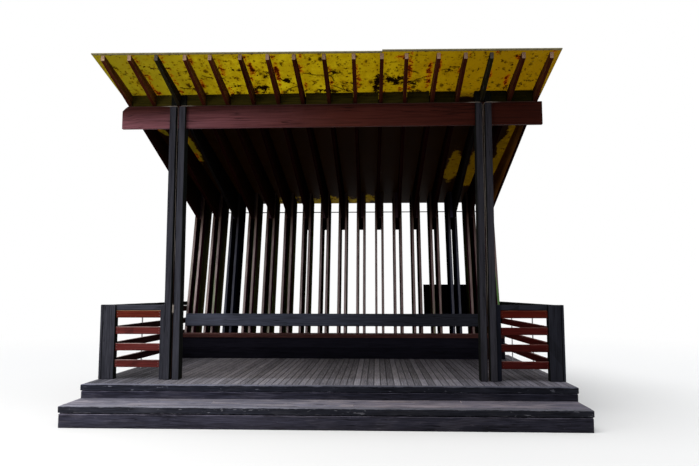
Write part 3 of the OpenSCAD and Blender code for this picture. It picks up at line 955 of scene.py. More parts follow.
class Boards:
    """Separate boards in one mesh, each with its own grain and tone.

    Three attributes tell the finish where a point lies in its board: its place
    from the board's middle, the board's half size there, and its traits, which
    are a seed, a tone from -1 to 1 and a kind from 0 to 1.
    """

    def __init__(self, seed: int) -> None:
        """Starts an empty set with its own random draws."""
        self.mesh = bmesh.new()
        self.carrier = bpy.data.meshes.new("carrier")
        self.rng = random.Random(seed)

    def box(self, low: Sequence[float], high: Sequence[float], along: Along = Along.ACROSS,
            cut: Cut = Cut(), kind: float = 0.0, turn: Matrix | None = None) -> None:
        """Adds a straight board between two corners.

        Args:
            low: The lowest corner.
            high: The highest corner.
            along: The direction of its length.
            cut: How it is sawn.
            kind: Its kind, for finishes with a second stain.
            turn: A last move of the whole board.
        """
        low, high = Vector(low), Vector(high)
        basis = along.value
        long, wide, thick = (abs(s) for s in basis.transposed() @ (high - low))
        frame = Matrix.Translation((low + high) / 2) @ basis.to_4x4()
        self.outline(rectangle(long, wide), thick, frame if turn is None else turn @ frame, cut,
                     kind)

    def outline(self, points: Sequence[Point], width: float, frame: Matrix, cut: Cut = Cut(),
                kind: float = 0.0) -> None:
        """Adds a board with a convex outline.

        Args:
            points: Its outline, along its length and across, counterclockwise.
            width: Its thickness, half of it on each side of the outline's plane.
            frame: Brings the outline's plane to its place.
            cut: How it is sawn.
            kind: Its kind, for finishes with a second stain.
        """
        board = bmesh.new()
        face = board.faces.new([board.verts.new((x, y, -width / 2)) for x, y in points])
        raised = bmesh.ops.extrude_face_region(board, geom=[face])
        top = [v for v in raised["geom"] if isinstance(v, bmesh.types.BMVert)]
        bmesh.ops.translate(board, verts=top, vec=(0.0, 0.0, width))
        bmesh.ops.recalc_face_normals(board, faces=board.faces[:])
        first, last = min(p[0] for p in points), max(p[0] for p in points)
        rings = int((last - first) / cut.pitch)
        for k in range(1, rings + 1):
            place = first + (last - first) * k / (rings + 1)
            bmesh.ops.bisect_plane(board, geom=board.verts[:] + board.edges[:] + board.faces[:],
                                   plane_co=(place, 0.0, 0.0), plane_no=(1.0, 0.0, 0.0))
        sharp = [e for e in board.edges if e.calc_face_angle(0.0) > SHARP_EDGE]
        bmesh.ops.bevel(board, geom=sharp, offset=cut.bevel, offset_type="OFFSET", segments=1,
                        profile=0.5, affect="EDGES", material=-1)
        self._mark(board, points, width, (first, last), cut, kind)
        bmesh.ops.transform(board, matrix=frame, verts=board.verts[:])
        board.to_mesh(self.carrier)
        board.free()
        self.mesh.from_mesh(self.carrier)

    def _mark(self, board: bmesh.types.BMesh, points: Sequence[Point], width: float,
              ends: tuple[float, float], cut: Cut, kind: float) -> None:
        """Writes a board's attributes, then lets it warp.

        Args:
            board: The board, in the plane of its outline.
            points: Its outline.
            width: Its thickness.
            ends: Where its length starts and ends.
            cut: How it is sawn.
            kind: Its kind.
        """
        layers = board.verts.layers.float_vector
        place, half, trait = (layers.new("board_" + n) for n in ("place", "half", "trait"))
        traits = Vector((self.rng.uniform(0.0, 50.0), self.rng.uniform(-1.0, 1.0), kind))
        drift = Vector((traits.x, 0.0, 0.0))
        for v in board.verts:
            low, high = span(points, v.co.x)
            v[place] = Vector((v.co.x - sum(ends) / 2, v.co.y - (low + high) / 2, v.co.z))
            v[half] = Vector(((ends[1] - ends[0]) / 2, (high - low) / 2, width / 2))
            v[trait] = traits
            slow = noise.noise_vector(Vector((v.co.x * WANDER_SCALE, traits.x, 0.0)))
            coarse, fine = (noise.noise_vector(v.co * scale + drift) for scale in RAG_SCALES)
            moved = v.co + slow * cut.wander + (coarse + fine) * cut.rag
            v.co.y = min(max(moved.y, low), high)
            v.co.z = min(max(moved.z, -width / 2), width / 2)

    def studs(self, places: Sequence[Vector], radius: float, height: float, up: Vector,
              sides: int = 8) -> None:
        """Adds low round heads, as of nails, screws and bolts.

        Args:
            places: Where the heads sit.
            radius: Their radius.
            height: How far they stand out.
            up: The direction that they face.
            sides: How many sides each has.
        """
        shape = raised_to(up) @ Matrix.Diagonal((radius, radius, height, 1.0))
        add_cones(self.mesh, [Matrix.Translation(place + up * height / 2) @ shape
                              for place in places], sides, STUD_TAPER)

    def piece(self, name: str, finish: TimberFinish | PlainFinish, *nodes: str) -> None:
        """Turns the set into a piece with its finish, which stands for the named solids."""
        bpy.data.meshes.remove(self.carrier)
        add_piece(name, self.mesh, finish.material(), finish.slot, *nodes)


# Sub-assemblies


@dataclass
class Floor:
    """The step, the stage floor and the timbers under them."""

    deck_board: float = 0.083
    board_gap: float = 0.003
    sunk: float = 0.0015
    tread_joints: tuple[float, ...] = (0.35, -1.3, 1.6)
    edge_cut: Cut = Cut(bevel=0.006, pitch=0.03, wander=0.002, rag=0.004)
    riser_cut: Cut = Cut(bevel=0.003, pitch=0.12, wander=0.001, rag=0.001)
    deck_cut: Cut = Cut(bevel=0.002, pitch=0.35, wander=0.001, rag=0.0006)
    step_shadow: float = 0.012
    stage_shadow: float = 0.006
    skirt_board: float = 0.12
    nail_radius: float = 0.004
    nail_height: float = 0.0012
    nail_apart: float = 0.025
    nail_stray: float = 0.003
    joists: int = 8
    joist_t: float = 0.060

    def build(self) -> None:
        """Builds the floor from its edge boards to its bearers."""
        step = self.front("step", 11, self.step_shadow)
        self.step_ends(step)
        step.piece("step_front_boards", STEP_STAIN_AND_PAINTED_SHADE, "step_edge", "step_riser", "step_ends")
        stage = self.front("stage", 12, self.stage_shadow)
        stage.piece("stage_front_boards", STEP_STAIN_AND_PAINTED_SHADE, "stage_edge", "stage_riser")
        self.tread()
        self.deck()
        self.skirts()
        for node, source in (("ground_bearers", Source.SOLID_BACK),
                             ("step_bearers", Source.SOLID_BACK),
                             ("stage_joists", Source.SOLID_ACROSS)):
            dress(node, STEP_STAIN_AND_PAINTED_SHADE.material(source))

    def front(self, level: str, seed: int, shadow: float) -> Boards:
        """Builds the edge board and riser of one level.

        Args:
            level: The level, step or stage.
            seed: The seed of its boards.
            shadow: The dark gap between the edge board and the riser.

        Returns:
            The boards.
        """
        boards = Boards(seed)
        boards.box(*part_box(level + "_edge"), cut=self.edge_cut)
        low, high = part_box(level + "_riser")
        boards.box(low, (high.x, high.y, high.z - shadow), cut=self.riser_cut, kind=1.0)
        return boards

    def step_ends(self, boards: Boards) -> None:
        """Adds the boards that close the ends of the step."""
        low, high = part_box("step_ends")
        edge_low, edge_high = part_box("step_edge")
        width = edge_high.y - edge_low.y
        for x in (low.x, high.x - width):
            boards.box((x, low.y, low.z), (x + width, high.y, high.z), Along.BACK,
                       self.riser_cut, 1.0)

    def tread(self) -> None:
        """Builds the step's tread from boards that run across."""
        boards = Boards(21)
        low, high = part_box("step_tread")
        pitch = (high.y - low.y) / len(self.tread_joints)
        for k, joint in enumerate(self.tread_joints):
            y = low.y + k * pitch
            for x0, x1 in ((low.x, joint), (joint + self.board_gap, high.x)):
                boards.box((x0, y, low.z), (x1, y + pitch - self.board_gap, high.z),
                           cut=self.deck_cut)
        boards.piece("step_tread_boards", TREAD_STAIN_AND_PAINTED_SHADE, "step_tread")

    def deck(self) -> None:
        """Builds the stage floor from boards that run to the back, with its nails."""
        boards, heads = Boards(22), Boards(24)
        nails: list[Vector] = []
        low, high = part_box("stage_boards")
        count = round((high.x - low.x) / self.deck_board)
        pitch = (high.x - low.x) / count
        for k in range(count):
            x = low.x + k * pitch
            top = high.z - boards.rng.uniform(0.0, self.sunk)
            boards.box((x, low.y, low.z), (x + pitch - self.board_gap, high.y, top),
                       Along.BACK, self.deck_cut)
            nails += self.nails(x + pitch / 2, top, heads.rng)
        boards.piece("deck_boards", DECK_STAIN_AND_PAINTED_SHADE, "stage_boards")
        heads.studs(nails, self.nail_radius, self.nail_height, UP, 6)
        heads.piece("floor_nails", DULL_METAL)

    def nails(self, x: float, z: float, rng: random.Random) -> list[Vector]:
        """Places two nails at each joist.

        Args:
            x: The middle of their floor board.
            z: The board's top.
            rng: The draws that let them stray.

        Returns:
            Their places.
        """
        low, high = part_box("stage_joists")
        step = (high.y - low.y - self.joist_t) / (self.joists - 1)
        return [Vector((x + side * self.nail_apart + rng.uniform(-self.nail_stray, self.nail_stray),
                        low.y + self.joist_t / 2 + k * step, z))
                for k in range(self.joists) for side in (-1, 1)]

    def skirts(self) -> None:
        """Builds the boards that close the stage's sides and back."""
        boards = Boards(23)
        low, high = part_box("side_skirts")
        rear_low, rear_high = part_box("rear_skirt")
        depth = rear_high.y - rear_low.y
        rows = round((high.z - low.z) / self.skirt_board)
        pitch = (high.z - low.z) / rows
        for k in range(rows):
            z0, z1 = low.z + k * pitch, low.z + (k + 1) * pitch - self.board_gap
            for x in (low.x, high.x - depth):
                boards.box((x, low.y, z0), (x + depth, high.y, z1), Along.BACK)
            boards.box((rear_low.x, rear_low.y, z0), (rear_high.x, rear_high.y, z1))
        boards.piece("skirt_boards", STEP_STAIN_AND_PAINTED_SHADE, "side_skirts", "rear_skirt")


@dataclass
class Frame:
    """Main posts, front beam, blocking, rafters and the wall's fins."""

    frames: int = 17
    main: tuple[int, int] = (2, 14)
    rafter_t: float = 0.045
    rafter_h: float = 0.163
    fin_t: float = 0.042
    fin_gap: float = 0.078
    fin_d: float = 0.560
    fin_boards: int = 3
    fin_joint: float = 0.002
    leg_gap: float = 0.036
    post_w: float = 0.212
    roof: float = math.radians(12.7)
    under: float = math.radians(18.4)
    reach: float = 0.849
    skew: float = 0.078
    pivot_behind: float = 1.0
    chip: Point = (0.080, 0.068)
    chip_knee: Point = (0.55, 0.35)
    post_cut: Cut = Cut(bevel=0.006, pitch=0.4, wander=0.002, rag=0.001)
    beam_cut: Cut = Cut(bevel=0.004, pitch=0.3, wander=0.001, rag=0.001)
    rafter_cut: Cut = Cut(bevel=0.002, pitch=0.5, wander=0.001, rag=0.0005)
    fin_cut: Cut = Cut(bevel=0.003, pitch=0.6, wander=0.0015, rag=0.0008)
    strays: tuple[float, ...] = (0.013, 0.0, -0.010, 0.002, -0.032, -0.002, -0.008, -0.028,
                                 -0.002, 0.018, 0.019, -0.024, 0.022, 0.006, -0.024, 0.016, 0.009)

    def __post_init__(self) -> None:
        """Finds the places that the solids give."""
        self.beam_low, self.beam_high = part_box("front_beam")
        self.floor_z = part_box("stage_edge")[1].z
        self.wall_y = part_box("main_fins")[0].y
        self.beam_y = self.beam_low.y - JOINT

    def frame_x(self, i: int) -> float:
        """Returns the middle of frame i, counted from 0 at the left."""
        return (i - (self.frames - 1) / 2) * FRAME_PITCH

    def half_over_beam(self, i: int) -> float:
        """Returns half the width of what stands on the beam at frame i."""
        return (self.post_w if i in self.main else self.rafter_t) / 2

    def roof_z(self, y: float) -> float:
        """Returns the underside of the roof sheets."""
        return self.beam_high.z + self.rafter_h - math.tan(self.roof) * (y - self.beam_y)

    def under_z(self, y: float) -> float:
        """Returns the lower edge of the rafters."""
        return self.beam_high.z - math.tan(self.under) * (y - self.beam_y)

    def meet(self, line: Callable[[float], float], depth: float) -> Vector:
        """Finds where a roof line meets the wall.

        Args:
            line: Gives the height of the line at y.
            depth: How far behind the wall's front it meets it.

        Returns:
            The meeting point, in the middle of the plan.
        """
        start = line(0.0)
        fall = start - line(1.0)
        lean = math.tan(WALL_LEAN)
        y = (self.wall_y + depth + lean * (start - self.floor_z)) / (1.0 + lean * fall)
        return Vector((0.0, y, line(y)))

    def build(self) -> None:
        """Builds the frame from its posts to its wall."""
        self.post("left", 31)
        self.post("right", 32)
        self.beam()
        self.blocking()
        self.rafters()
        self.fins()

    def post(self, side: str, seed: int) -> None:
        """Builds one main post from its pairs of upright timbers.

        Args:
            side: The side, left or right.
            seed: The seed of its boards.
        """
        boards = Boards(seed)
        legs, core, back = (f"{side}_post_{n}" for n in ("legs", "core", "back"))
        clasp = self.rafter_t + 2 * JOINT
        under_beam, over_beam = self.beam_low.z - JOINT, self.beam_high.z + JOINT
        # The core's boards above the beam are the second kind, which the frame's finish paints
        # darker, as shade.
        for node, gap, floor, roof, kind in ((legs, self.leg_gap, None, None, 0.0),
                                             (core, self.leg_gap, None, under_beam, 0.0),
                                             (core, clasp, over_beam, None, 1.0),
                                             (back, clasp, None, None, 0.0)):
            low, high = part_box(node)
            middle = (low.x + high.x) / 2
            for x0, x1 in ((low.x, middle - gap / 2), (middle + gap / 2, high.x)):
                boards.box((x0, low.y, floor or low.z), (x1, high.y, roof or high.z), Along.UP,
                           self.post_cut, kind)
        boards.piece(side + "_post_timbers", FRAME_STAIN_AND_PAINTED_SHADE, legs, core, back)

    def beam(self) -> None:
        """Builds the front beam, with its left top corner broken off."""
        boards = Boards(33)
        low, high = self.beam_low, self.beam_high
        length, height = high.x - low.x, high.z - low.z
        chip_w, chip_h = self.chip
        knee = (chip_w * self.chip_knee[0], height - chip_h * self.chip_knee[1])
        points = [(0.0, 0.0), (length, 0.0), (length, height), (chip_w, height), knee,
                  (0.0, height - chip_h)]
        frame = Matrix.Translation((low.x, (low.y + high.y) / 2, low.z)) @ turned_to(RIGHT, UP)
        boards.outline(points, high.y - low.y, frame, self.beam_cut)
        boards.piece("front_beam_timber", BEAM_STAIN_AND_PAINTED_SHADE, "front_beam")

    def blocking(self) -> None:
        """Builds the boards between the rafters over the beam, of which one is missing."""
        boards = Boards(34)
        low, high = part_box("beam_blocking")
        for i in range(1, self.frames):
            if i == self.main[1]:
                continue
            x0 = self.frame_x(i - 1) + self.half_over_beam(i - 1) + JOINT
            x1 = self.frame_x(i) - self.half_over_beam(i) - JOINT
            boards.box((x0, low.y, low.z), (x1, high.y, high.z))
        boards.piece("blocking_boards", BLOCK_STAIN_AND_PAINTED_SHADE, "beam_blocking")

    def rafters(self) -> None:
        """Builds the tapered rafters with their thicker tails."""
        red, dark = Boards(35), Boards(36)
        for i in range(self.frames):
            self._rafter(dark if i in self.main else red, i)
        red.piece("red_rafters", RAFTER_STAIN_AND_PAINTED_LIGHT, "left_rafters", "middle_rafters", "right_rafters")
        dark.piece("dark_rafters", DARK_RAFTER_STAIN_AND_PAINTED_SHADE, "main_rafters")

    def _rafter(self, boards: Boards, i: int) -> None:
        """Adds rafter i, whose front end strays to one side.

        Args:
            boards: The set that gets it.
            i: Its number, counted from 0 at the left.
        """
        aside = self.frame_x(i) / self.frame_x(self.frames - 1)
        tip_y = self.beam_y - self.reach + self.skew * aside / 2
        low, high = (Vector((0.0, tip_y, line(tip_y))) for line in (self.under_z, self.roof_z))
        knee, crown = self.meet(self.under_z, 0.0), self.meet(self.roof_z, 0.0)
        heel, top = self.meet(self.under_z, self.fin_d), self.meet(self.roof_z, self.fin_d)
        fall, rise = slope(self.roof)
        pivot = Vector((0.0, self.beam_y + self.pivot_behind, 0.0))
        stray = math.atan2(self.strays[i], self.reach + self.pivot_behind)
        for start, corner, width, swing in ((low, high, self.rafter_t, stray),
                                            (knee, crown, self.fin_gap - 2 * JOINT, 0.0)):
            flat = [((p - corner).dot(fall), (p - corner).dot(rise))
                    for p in (start, heel, top, corner)]
            frame = (Matrix.Translation(pivot + RIGHT * self.frame_x(i))
                     @ Matrix.Rotation(swing, 4, "Z") @ Matrix.Translation(corner - pivot)
                     @ turned_to(fall, rise))
            boards.outline(flat, width, frame, self.rafter_cut)

    def fins(self) -> None:
        """Builds the leaning wall, each fin of boards edge to edge."""
        pale, dark = Boards(37), Boards(38)
        for i in range(self.frames):
            for side in (-1, 1):
                x = self.frame_x(i) + side * (self.fin_gap + self.fin_t) / 2
                self._fin(dark if i in self.main else pale, x)
        pale.piece("wall_fins", FIN_STAIN_AND_PAINTED_LIGHT, "outer_fins", "middle_fins")
        dark.piece("dark_wall_fins", DARK_FIN_STAIN_AND_PAINTED_SHADE, "main_fins")

    def _fin(self, boards: Boards, x: float) -> None:
        """Adds the boards of one fin.

        Args:
            boards: The set that gets them.
            x: The fin's middle.
        """
        back, up = slope(WALL_LEAN)
        wide = self.fin_d / self.fin_boards
        for k in range(self.fin_boards):
            front, rear = k * wide, (k + 1) * wide - self.fin_joint
            origin = Vector((0.0, self.wall_y + front, self.floor_z))
            outline = [origin, self.meet(self.roof_z, front), self.meet(self.roof_z, rear),
                       Vector((0.0, self.wall_y + rear, self.floor_z))]
            points = [((p - origin).dot(up), (p - origin).dot(back)) for p in outline]
            # The boards behind the front one are the second kind, whose faces that look to the
            # middle the finish paints olive, as green bounce light.
            boards.outline(points, self.fin_t,
                           Matrix.Translation(origin + RIGHT * x) @ turned_to(up, back),
                           self.fin_cut, kind=float(k > 0))


@dataclass
class Bench:
    """The bench along the wall, with its back rail."""

    seat_t: float = 0.045
    edge_w: float = 0.060
    edge_gap: float = 0.002
    seat_rows: int = 2
    seat_gap: float = 0.003
    kick_h: float = 0.186
    kick_gap: float = 0.004
    shadow_gap: float = 0.0006
    cut: Cut = Cut(bevel=0.004, pitch=0.3, wander=0.001, rag=0.0008)

    def build(self) -> None:
        """Builds the front boards, the seat and the back rail."""
        front = Boards(41)
        low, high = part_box("bench_front")
        split = low.z + self.kick_h + self.kick_gap
        front.box(low, (high.x, high.y, split - self.shadow_gap))
        front.box((low.x, low.y, split), high)
        front.piece("bench_front_boards", BENCH_STAIN, "bench_front")
        self.seat()
        self.back()
        dress("bench_ledger", BENCH_STAIN.material(Source.SOLID_ACROSS))

    def seat(self) -> None:
        """Builds the seat from a thick front edge and boards behind it."""
        boards = Boards(42)
        low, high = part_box("bench_seat")
        boards.box(low, (high.x, low.y + self.edge_w, high.z), cut=self.cut)
        start = low.y + self.edge_w + self.edge_gap
        pitch = (high.y - start) / self.seat_rows
        for k in range(self.seat_rows):
            y = start + k * pitch
            boards.box((low.x, y, high.z - self.seat_t),
                       (high.x, y + pitch - self.seat_gap, high.z), cut=self.cut)
        boards.piece("seat_boards", SEAT_STAIN, "bench_seat")

    def back(self) -> None:
        """Builds the leaning back rail."""
        boards = Boards(43)
        low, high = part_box("back_rail")
        rise = high.z - low.z
        depth = high.y - low.y - rise * math.tan(WALL_LEAN)
        up = slope(WALL_LEAN)[1]
        corners = rectangle(high.x - low.x, rise / math.cos(WALL_LEAN))
        frame = Matrix.Translation((low + high) / 2) @ turned_to(RIGHT, up)
        boards.outline(corners, depth * math.cos(WALL_LEAN), frame, self.cut)
        boards.piece("back_rail_board", BACK_RAIL_STAIN_AND_PAINTED_SHADE, "back_rail")


@dataclass
class Railing:
    """The railing at one side of the stage, drawn for the right and turned over for the left."""

    side: int
    rails: int = 4
    rail_h: float = 0.095
    rail_pitch: float = 0.213
    rail_t: float = 0.040
    rail_inset: float = 0.025
    top_rail_h: float = 0.068
    top_gap: float = 0.007
    corner_w: float = 0.162
    corner_side: float = 0.040
    corner_setback: float = 0.008
    inner_w: float = 0.060
    side_gap: float = 0.006
    screw_radius: float = 0.0045
    screw_height: float = 0.0015
    screw_sunk: float = 0.0005
    screw_inset: float = 0.022
    screw_apart: float = 0.018
    post_cut: Cut = Cut(bevel=0.005, pitch=0.2, wander=0.002, rag=0.001)
    rail_cut: Cut = Cut(bevel=0.004, pitch=0.12, wander=0.003, rag=0.0012)

    def build(self) -> None:
        """Builds the posts, the rails and the top rails."""
        self.name = "right" if self.side > 0 else "left"
        self.posts()
        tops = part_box(self.name + "_top_rails")[1].z - self.top_rail_h
        rails = Boards(52 + self.side)
        for k in range(self.rails):
            z = tops - self.top_gap - self.rail_h - k * self.rail_pitch
            self.front_rail(rails, z, self.rail_h, float(k == 0))
            self.side_rail(rails, z, self.rail_h)
            self.screws(rails, z + self.rail_h / 2)
        rails.piece(self.name + "_rails", RAIL_STAIN_AND_PAINTED_LIGHT, self.name + "_front_rails",
                    self.name + "_side_rails")
        caps = Boards(56 + self.side)
        self.front_rail(caps, tops, self.top_rail_h)
        self.side_rail(caps, tops, self.top_rail_h)
        caps.piece(self.name + "_top_rail_boards", TOP_RAIL_STAIN_AND_PAINTED_SHADE, self.name + "_top_rails")

    def mirrored(self, boards: Boards, low: Sequence[float], high: Sequence[float],
                 along: Along, cut: Cut, kind: float) -> None:
        """Adds a board given for the right-hand side to this side.

        Args:
            boards: The set that gets it.
            low: Its lowest corner, on the right.
            high: Its highest corner, on the right.
            along: The direction of its length.
            cut: How it is sawn.
            kind: Its kind.
        """
        x0, x1 = sorted((low[0] * self.side, high[0] * self.side))
        boards.box((x0, low[1], low[2]), (x1, high[1], high[2]), along, cut, kind)

    def posts(self) -> None:
        """Builds the corner post with its side board, and the inner post."""
        boards = Boards(50 + self.side)
        low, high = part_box(self.name + "_rail_posts")
        inner, outer = sorted((abs(low.x), abs(high.x)))
        corner = outer - self.corner_side
        # The inner post on the right is the second kind, which the railing's finish paints darker,
        # as shade.
        for x0, x1, back, kind in ((corner - self.corner_w, corner, 0.0, 0.0),
                                   (corner + self.side_gap, outer, self.corner_setback, 0.0),
                                   (inner, inner + self.inner_w, 0.0, float(self.side > 0))):
            self.mirrored(boards, (x0, low.y + back, low.z), (x1, high.y, high.z), Along.UP,
                          self.post_cut, kind)
        boards.piece(self.name + "_railing_posts", RAILING_STAIN_AND_PAINTED_SHADE, self.name + "_rail_posts")
        self.rail_x = (inner + self.inner_w + JOINT, corner - self.corner_w - JOINT)
        self.rail_y = low.y + self.rail_inset

    def front_rail(self, boards: Boards, z: float, height: float, kind: float = 0.0) -> None:
        """Adds a rail between the inner post and the corner post.

        Args:
            boards: The set that gets it.
            z: Its underside.
            height: Its height.
            kind: Its kind.
        """
        self.mirrored(boards, (self.rail_x[0], self.rail_y, z),
                      (self.rail_x[1], self.rail_y + self.rail_t, z + height),
                      Along.ACROSS, self.rail_cut, kind)

    def side_rail(self, boards: Boards, z: float, height: float) -> None:
        """Adds a rail along the side, which leans a little towards the wall.

        Args:
            boards: The set that gets it.
            z: Its underside.
            height: Its height.
        """
        low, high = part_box(self.name + "_side_rails")
        depth = high.y - low.y
        turn = math.atan2(high.x - low.x - self.rail_t, depth)
        front_x = max(abs(low.x), abs(high.x)) - self.rail_t * math.cos(turn)
        length = depth / math.cos(turn) - self.rail_t * math.tan(turn)
        place = (Matrix.Translation((self.side * front_x, low.y, z))
                 @ Matrix.Rotation(self.side * turn, 4, "Z"))
        x0, x1 = sorted((0.0, self.side * self.rail_t))
        boards.box((x0, 0.0, 0.0), (x1, length, height), Along.BACK, self.rail_cut, turn=place)

    def screws(self, boards: Boards, z: float) -> None:
        """Adds the screws at both ends of a front rail, around a height."""
        ends = (self.rail_x[0] + self.screw_inset, self.rail_x[1] - self.screw_inset)
        places = [Vector((self.side * x, self.rail_y - self.screw_sunk, z + dz))
                  for x in ends for dz in (-self.screw_apart, self.screw_apart)]
        boards.studs(places, self.screw_radius, self.screw_height, -BACK)


@dataclass
class Cables:
    """Two thin cables in the gap of each main post, which follow the top of the beam."""

    radius: float = 0.0036
    apart: float = 0.009
    bend: float = 0.042
    bend_steps: int = 6
    bend_turn: float = math.radians(18.0)
    sway: float = 0.0045
    waves: tuple[tuple[float, float, float], ...] = ((1.3, 0.0, 1.6), (5.0, 4.0, 0.8))
    sag_scale: float = 2.2
    sag_share: float = 1.5
    step: float = 0.05
    sides: int = 6
    joint_radius: float = 0.013
    joint_height: float = 0.100
    joint_bevel: float = 0.006

    def build(self) -> None:
        """Builds the four cables and the joint on the left."""
        self.low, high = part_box("post_cables")
        self.y, self.top = high.y - self.radius, high.z - self.radius
        self.rng = random.Random(61)
        mesh = bmesh.new()
        for post, outer in (("left_post_legs", -1), ("right_post_legs", 1)):
            legs_low, legs_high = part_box(post)
            middle = (legs_low.x + legs_high.x) / 2
            for side in (-1, 1):
                end = self.low.x if side < 0 else high.x
                self.tube(mesh, self.path(middle, side, end if side == outer else self.radius))
            if outer < 0:
                self.sleeve(mesh, Vector((middle, self.low.y + self.joint_radius, CABLE_JOINT_Z)))
        add_piece("wavy_cables", mesh, sheath_material(), "cable_sheath", "post_cables")

    def path(self, middle: float, side: int, stop: float) -> list[Vector]:
        """Lays the line of one cable, up a post, round a bend and along the beam.

        Args:
            middle: The x of the post's gap.
            side: The side to which the cable bends at the top.
            stop: The x at which it ends.

        Returns:
            Points along its middle.
        """
        seed = self.rng.uniform(0.0, 90.0)
        x = middle + side * self.apart
        rise = self.top - self.bend
        points = []
        for k in range(int((rise - self.low.z) / self.step)):
            z = self.low.z + k * self.step
            drift = sum(noise.noise(Vector((z * scale, seed, layer))) * self.sway * share
                        for scale, layer, share in self.waves)
            points.append(Vector((x + drift, self.y, z)))
        for k in range(self.bend_steps):
            angle = self.bend_turn * k
            points.append(Vector((x + side * self.bend * (1 - math.cos(angle)), self.y,
                                  rise + self.bend * math.sin(angle))))
        start = x + side * self.bend
        count = int(abs(stop - start) / (self.step * 2))
        for k in range(1, count + 1):
            away = start + (stop - start) * k / count
            sag = abs(noise.noise(Vector((away * self.sag_scale, seed, 0.0))))
            points.append(Vector((away, self.y, self.top - sag * self.sway * self.sag_share)))
        return points

    def tube(self, mesh: bmesh.types.BMesh, points: Sequence[Vector]) -> None:
        """Sweeps a round section along points.

        Args:
            mesh: The mesh that gets it.
            points: The points along its middle.
        """
        ring = bmesh.ops.create_circle(mesh, cap_ends=True, segments=self.sides,
                                       radius=self.radius)["verts"]
        frames = []
        for k, point in enumerate(points):
            ahead = points[min(k + 1, len(points) - 1)] - points[max(k - 1, 0)]
            across = BACK.cross(ahead).normalized()
            frames.append(Matrix.Translation(point) @ turned_to(across, BACK))
        bmesh.ops.transform(mesh, matrix=frames[0], verts=ring)
        cap = ring[0].link_faces[0]
        for before, after in zip(frames, frames[1:]):
            grown = bmesh.ops.extrude_face_region(mesh, geom=[cap])["geom"]
            verts = [v for v in grown if isinstance(v, bmesh.types.BMVert)]
            faces = [f for f in grown if isinstance(f, bmesh.types.BMFace)]
            bmesh.ops.transform(mesh, matrix=after @ before.inverted(), verts=verts)
            if cap.is_valid and cap is not faces[0] and before is not frames[0]:
                bmesh.ops.delete(mesh, geom=[cap], context="FACES_ONLY")
            cap = faces[0]
        bmesh.ops.recalc_face_normals(mesh, faces=mesh.faces[:])

    def sleeve(self, mesh: bmesh.types.BMesh, place: Vector) -> None:
        """Adds the round joint around both cables, with tapered ends.

        Args:
            mesh: The mesh that gets it.
            place: Its middle.
        """
        joint = bmesh.new()
        bmesh.ops.create_cone(joint, cap_ends=True, segments=16, radius1=self.joint_radius,
                              radius2=self.joint_radius, depth=self.joint_height,
                              matrix=Matrix.Translation(place))
        rims = [e for e in joint.edges
                if abs(e.verts[0].co.z - e.verts[1].co.z) < self.joint_height / 2]
        bmesh.ops.bevel(joint, geom=rims, offset=self.joint_bevel, offset_type="OFFSET",
                        segments=2, profile=0.5, affect="EDGES", material=-1)
        carrier = bpy.data.meshes.new("joint")
        joint.to_mesh(carrier)
        joint.free()
        mesh.from_mesh(carrier)
        bpy.data.meshes.remove(carrier)


# What lies on the roof


class Stain(Enum):
    """What lies on the roof sheets, with the part of the attribute that holds it."""

    LITTER = 0
    RUST = 1
    LEAF = 2


@dataclass(frozen=True)
class Mark:
    """A stain on the roof, at x and at a run from the front of the plan."""

    stain: Stain
    x: float
    run: float
    wide: float
    long: float
    amount: float = 1.0

    def strength(self, x: float, run: float) -> float:
        """Returns how strong the mark is at a place, from its amount in the middle to 0."""
        away = math.hypot((x - self.x) / self.wide, (run - self.run) / self.long)
        return self.amount * min(max(1.5 - away, 0.0), 1.0)


def drips(*places: tuple[float, float, float]) -> tuple[Mark, ...]:
    """Marks rust that has run down the roof.

    Args:
        places: The x of each drip, and the runs at which it starts and ends.

    Returns:
        The marks.
    """
    wide, past_end = 0.035, 0.03
    return tuple(Mark(Stain.RUST, x, (start + end) / 2, wide, abs(end - start) / 2 + past_end)
                 for x, start, end in places)


RUST_DRIPS = drips((-2.30, 0.98, 1.02), (-2.30, 0.62, 0.68), (-1.65, 0.75, 0.90),
                   (-1.33, 0.93, 0.97), (-1.33, 0.58, 0.62), (-0.95, 0.35, 0.65),
                   (-0.63, 0.40, 0.85), (-0.33, 0.30, 0.60), (-0.02, 0.98, 1.02),
                   (0.40, 0.70, 0.90), (0.95, 0.97, 1.03), (1.05, 0.35, 0.95),
                   (1.30, 0.40, 0.90), (1.40, 0.30, 0.70), (1.70, 0.57, 0.63),
                   (2.30, 0.70, 0.90), (2.35, 0.33, 0.37))
# Leaves on the sheets, whose shadows are painted into the film; one mark is a rust stain.
LEAF_BLOTS = (
    Mark(Stain.RUST, 0.95, 0.30, 0.09, 0.06, 0.8),
    Mark(Stain.LEAF, -0.90, 0.93, 0.10, 0.06), Mark(Stain.LEAF, -0.80, 0.68, 0.05, 0.04),
    Mark(Stain.LEAF, -0.53, 0.75, 0.06, 0.05), Mark(Stain.LEAF, 0.90, 0.78, 0.14, 0.10),
    Mark(Stain.LEAF, 1.12, 0.85, 0.09, 0.07), Mark(Stain.LEAF, 0.66, 0.90, 0.07, 0.24),
    Mark(Stain.LEAF, 0.10, 0.60, 0.05, 0.04, 0.8), Mark(Stain.LEAF, 0.05, 1.02, 0.30, 0.05, 0.7),
    Mark(Stain.LEAF, 1.10, 1.08, 0.30, 0.05, 0.6))
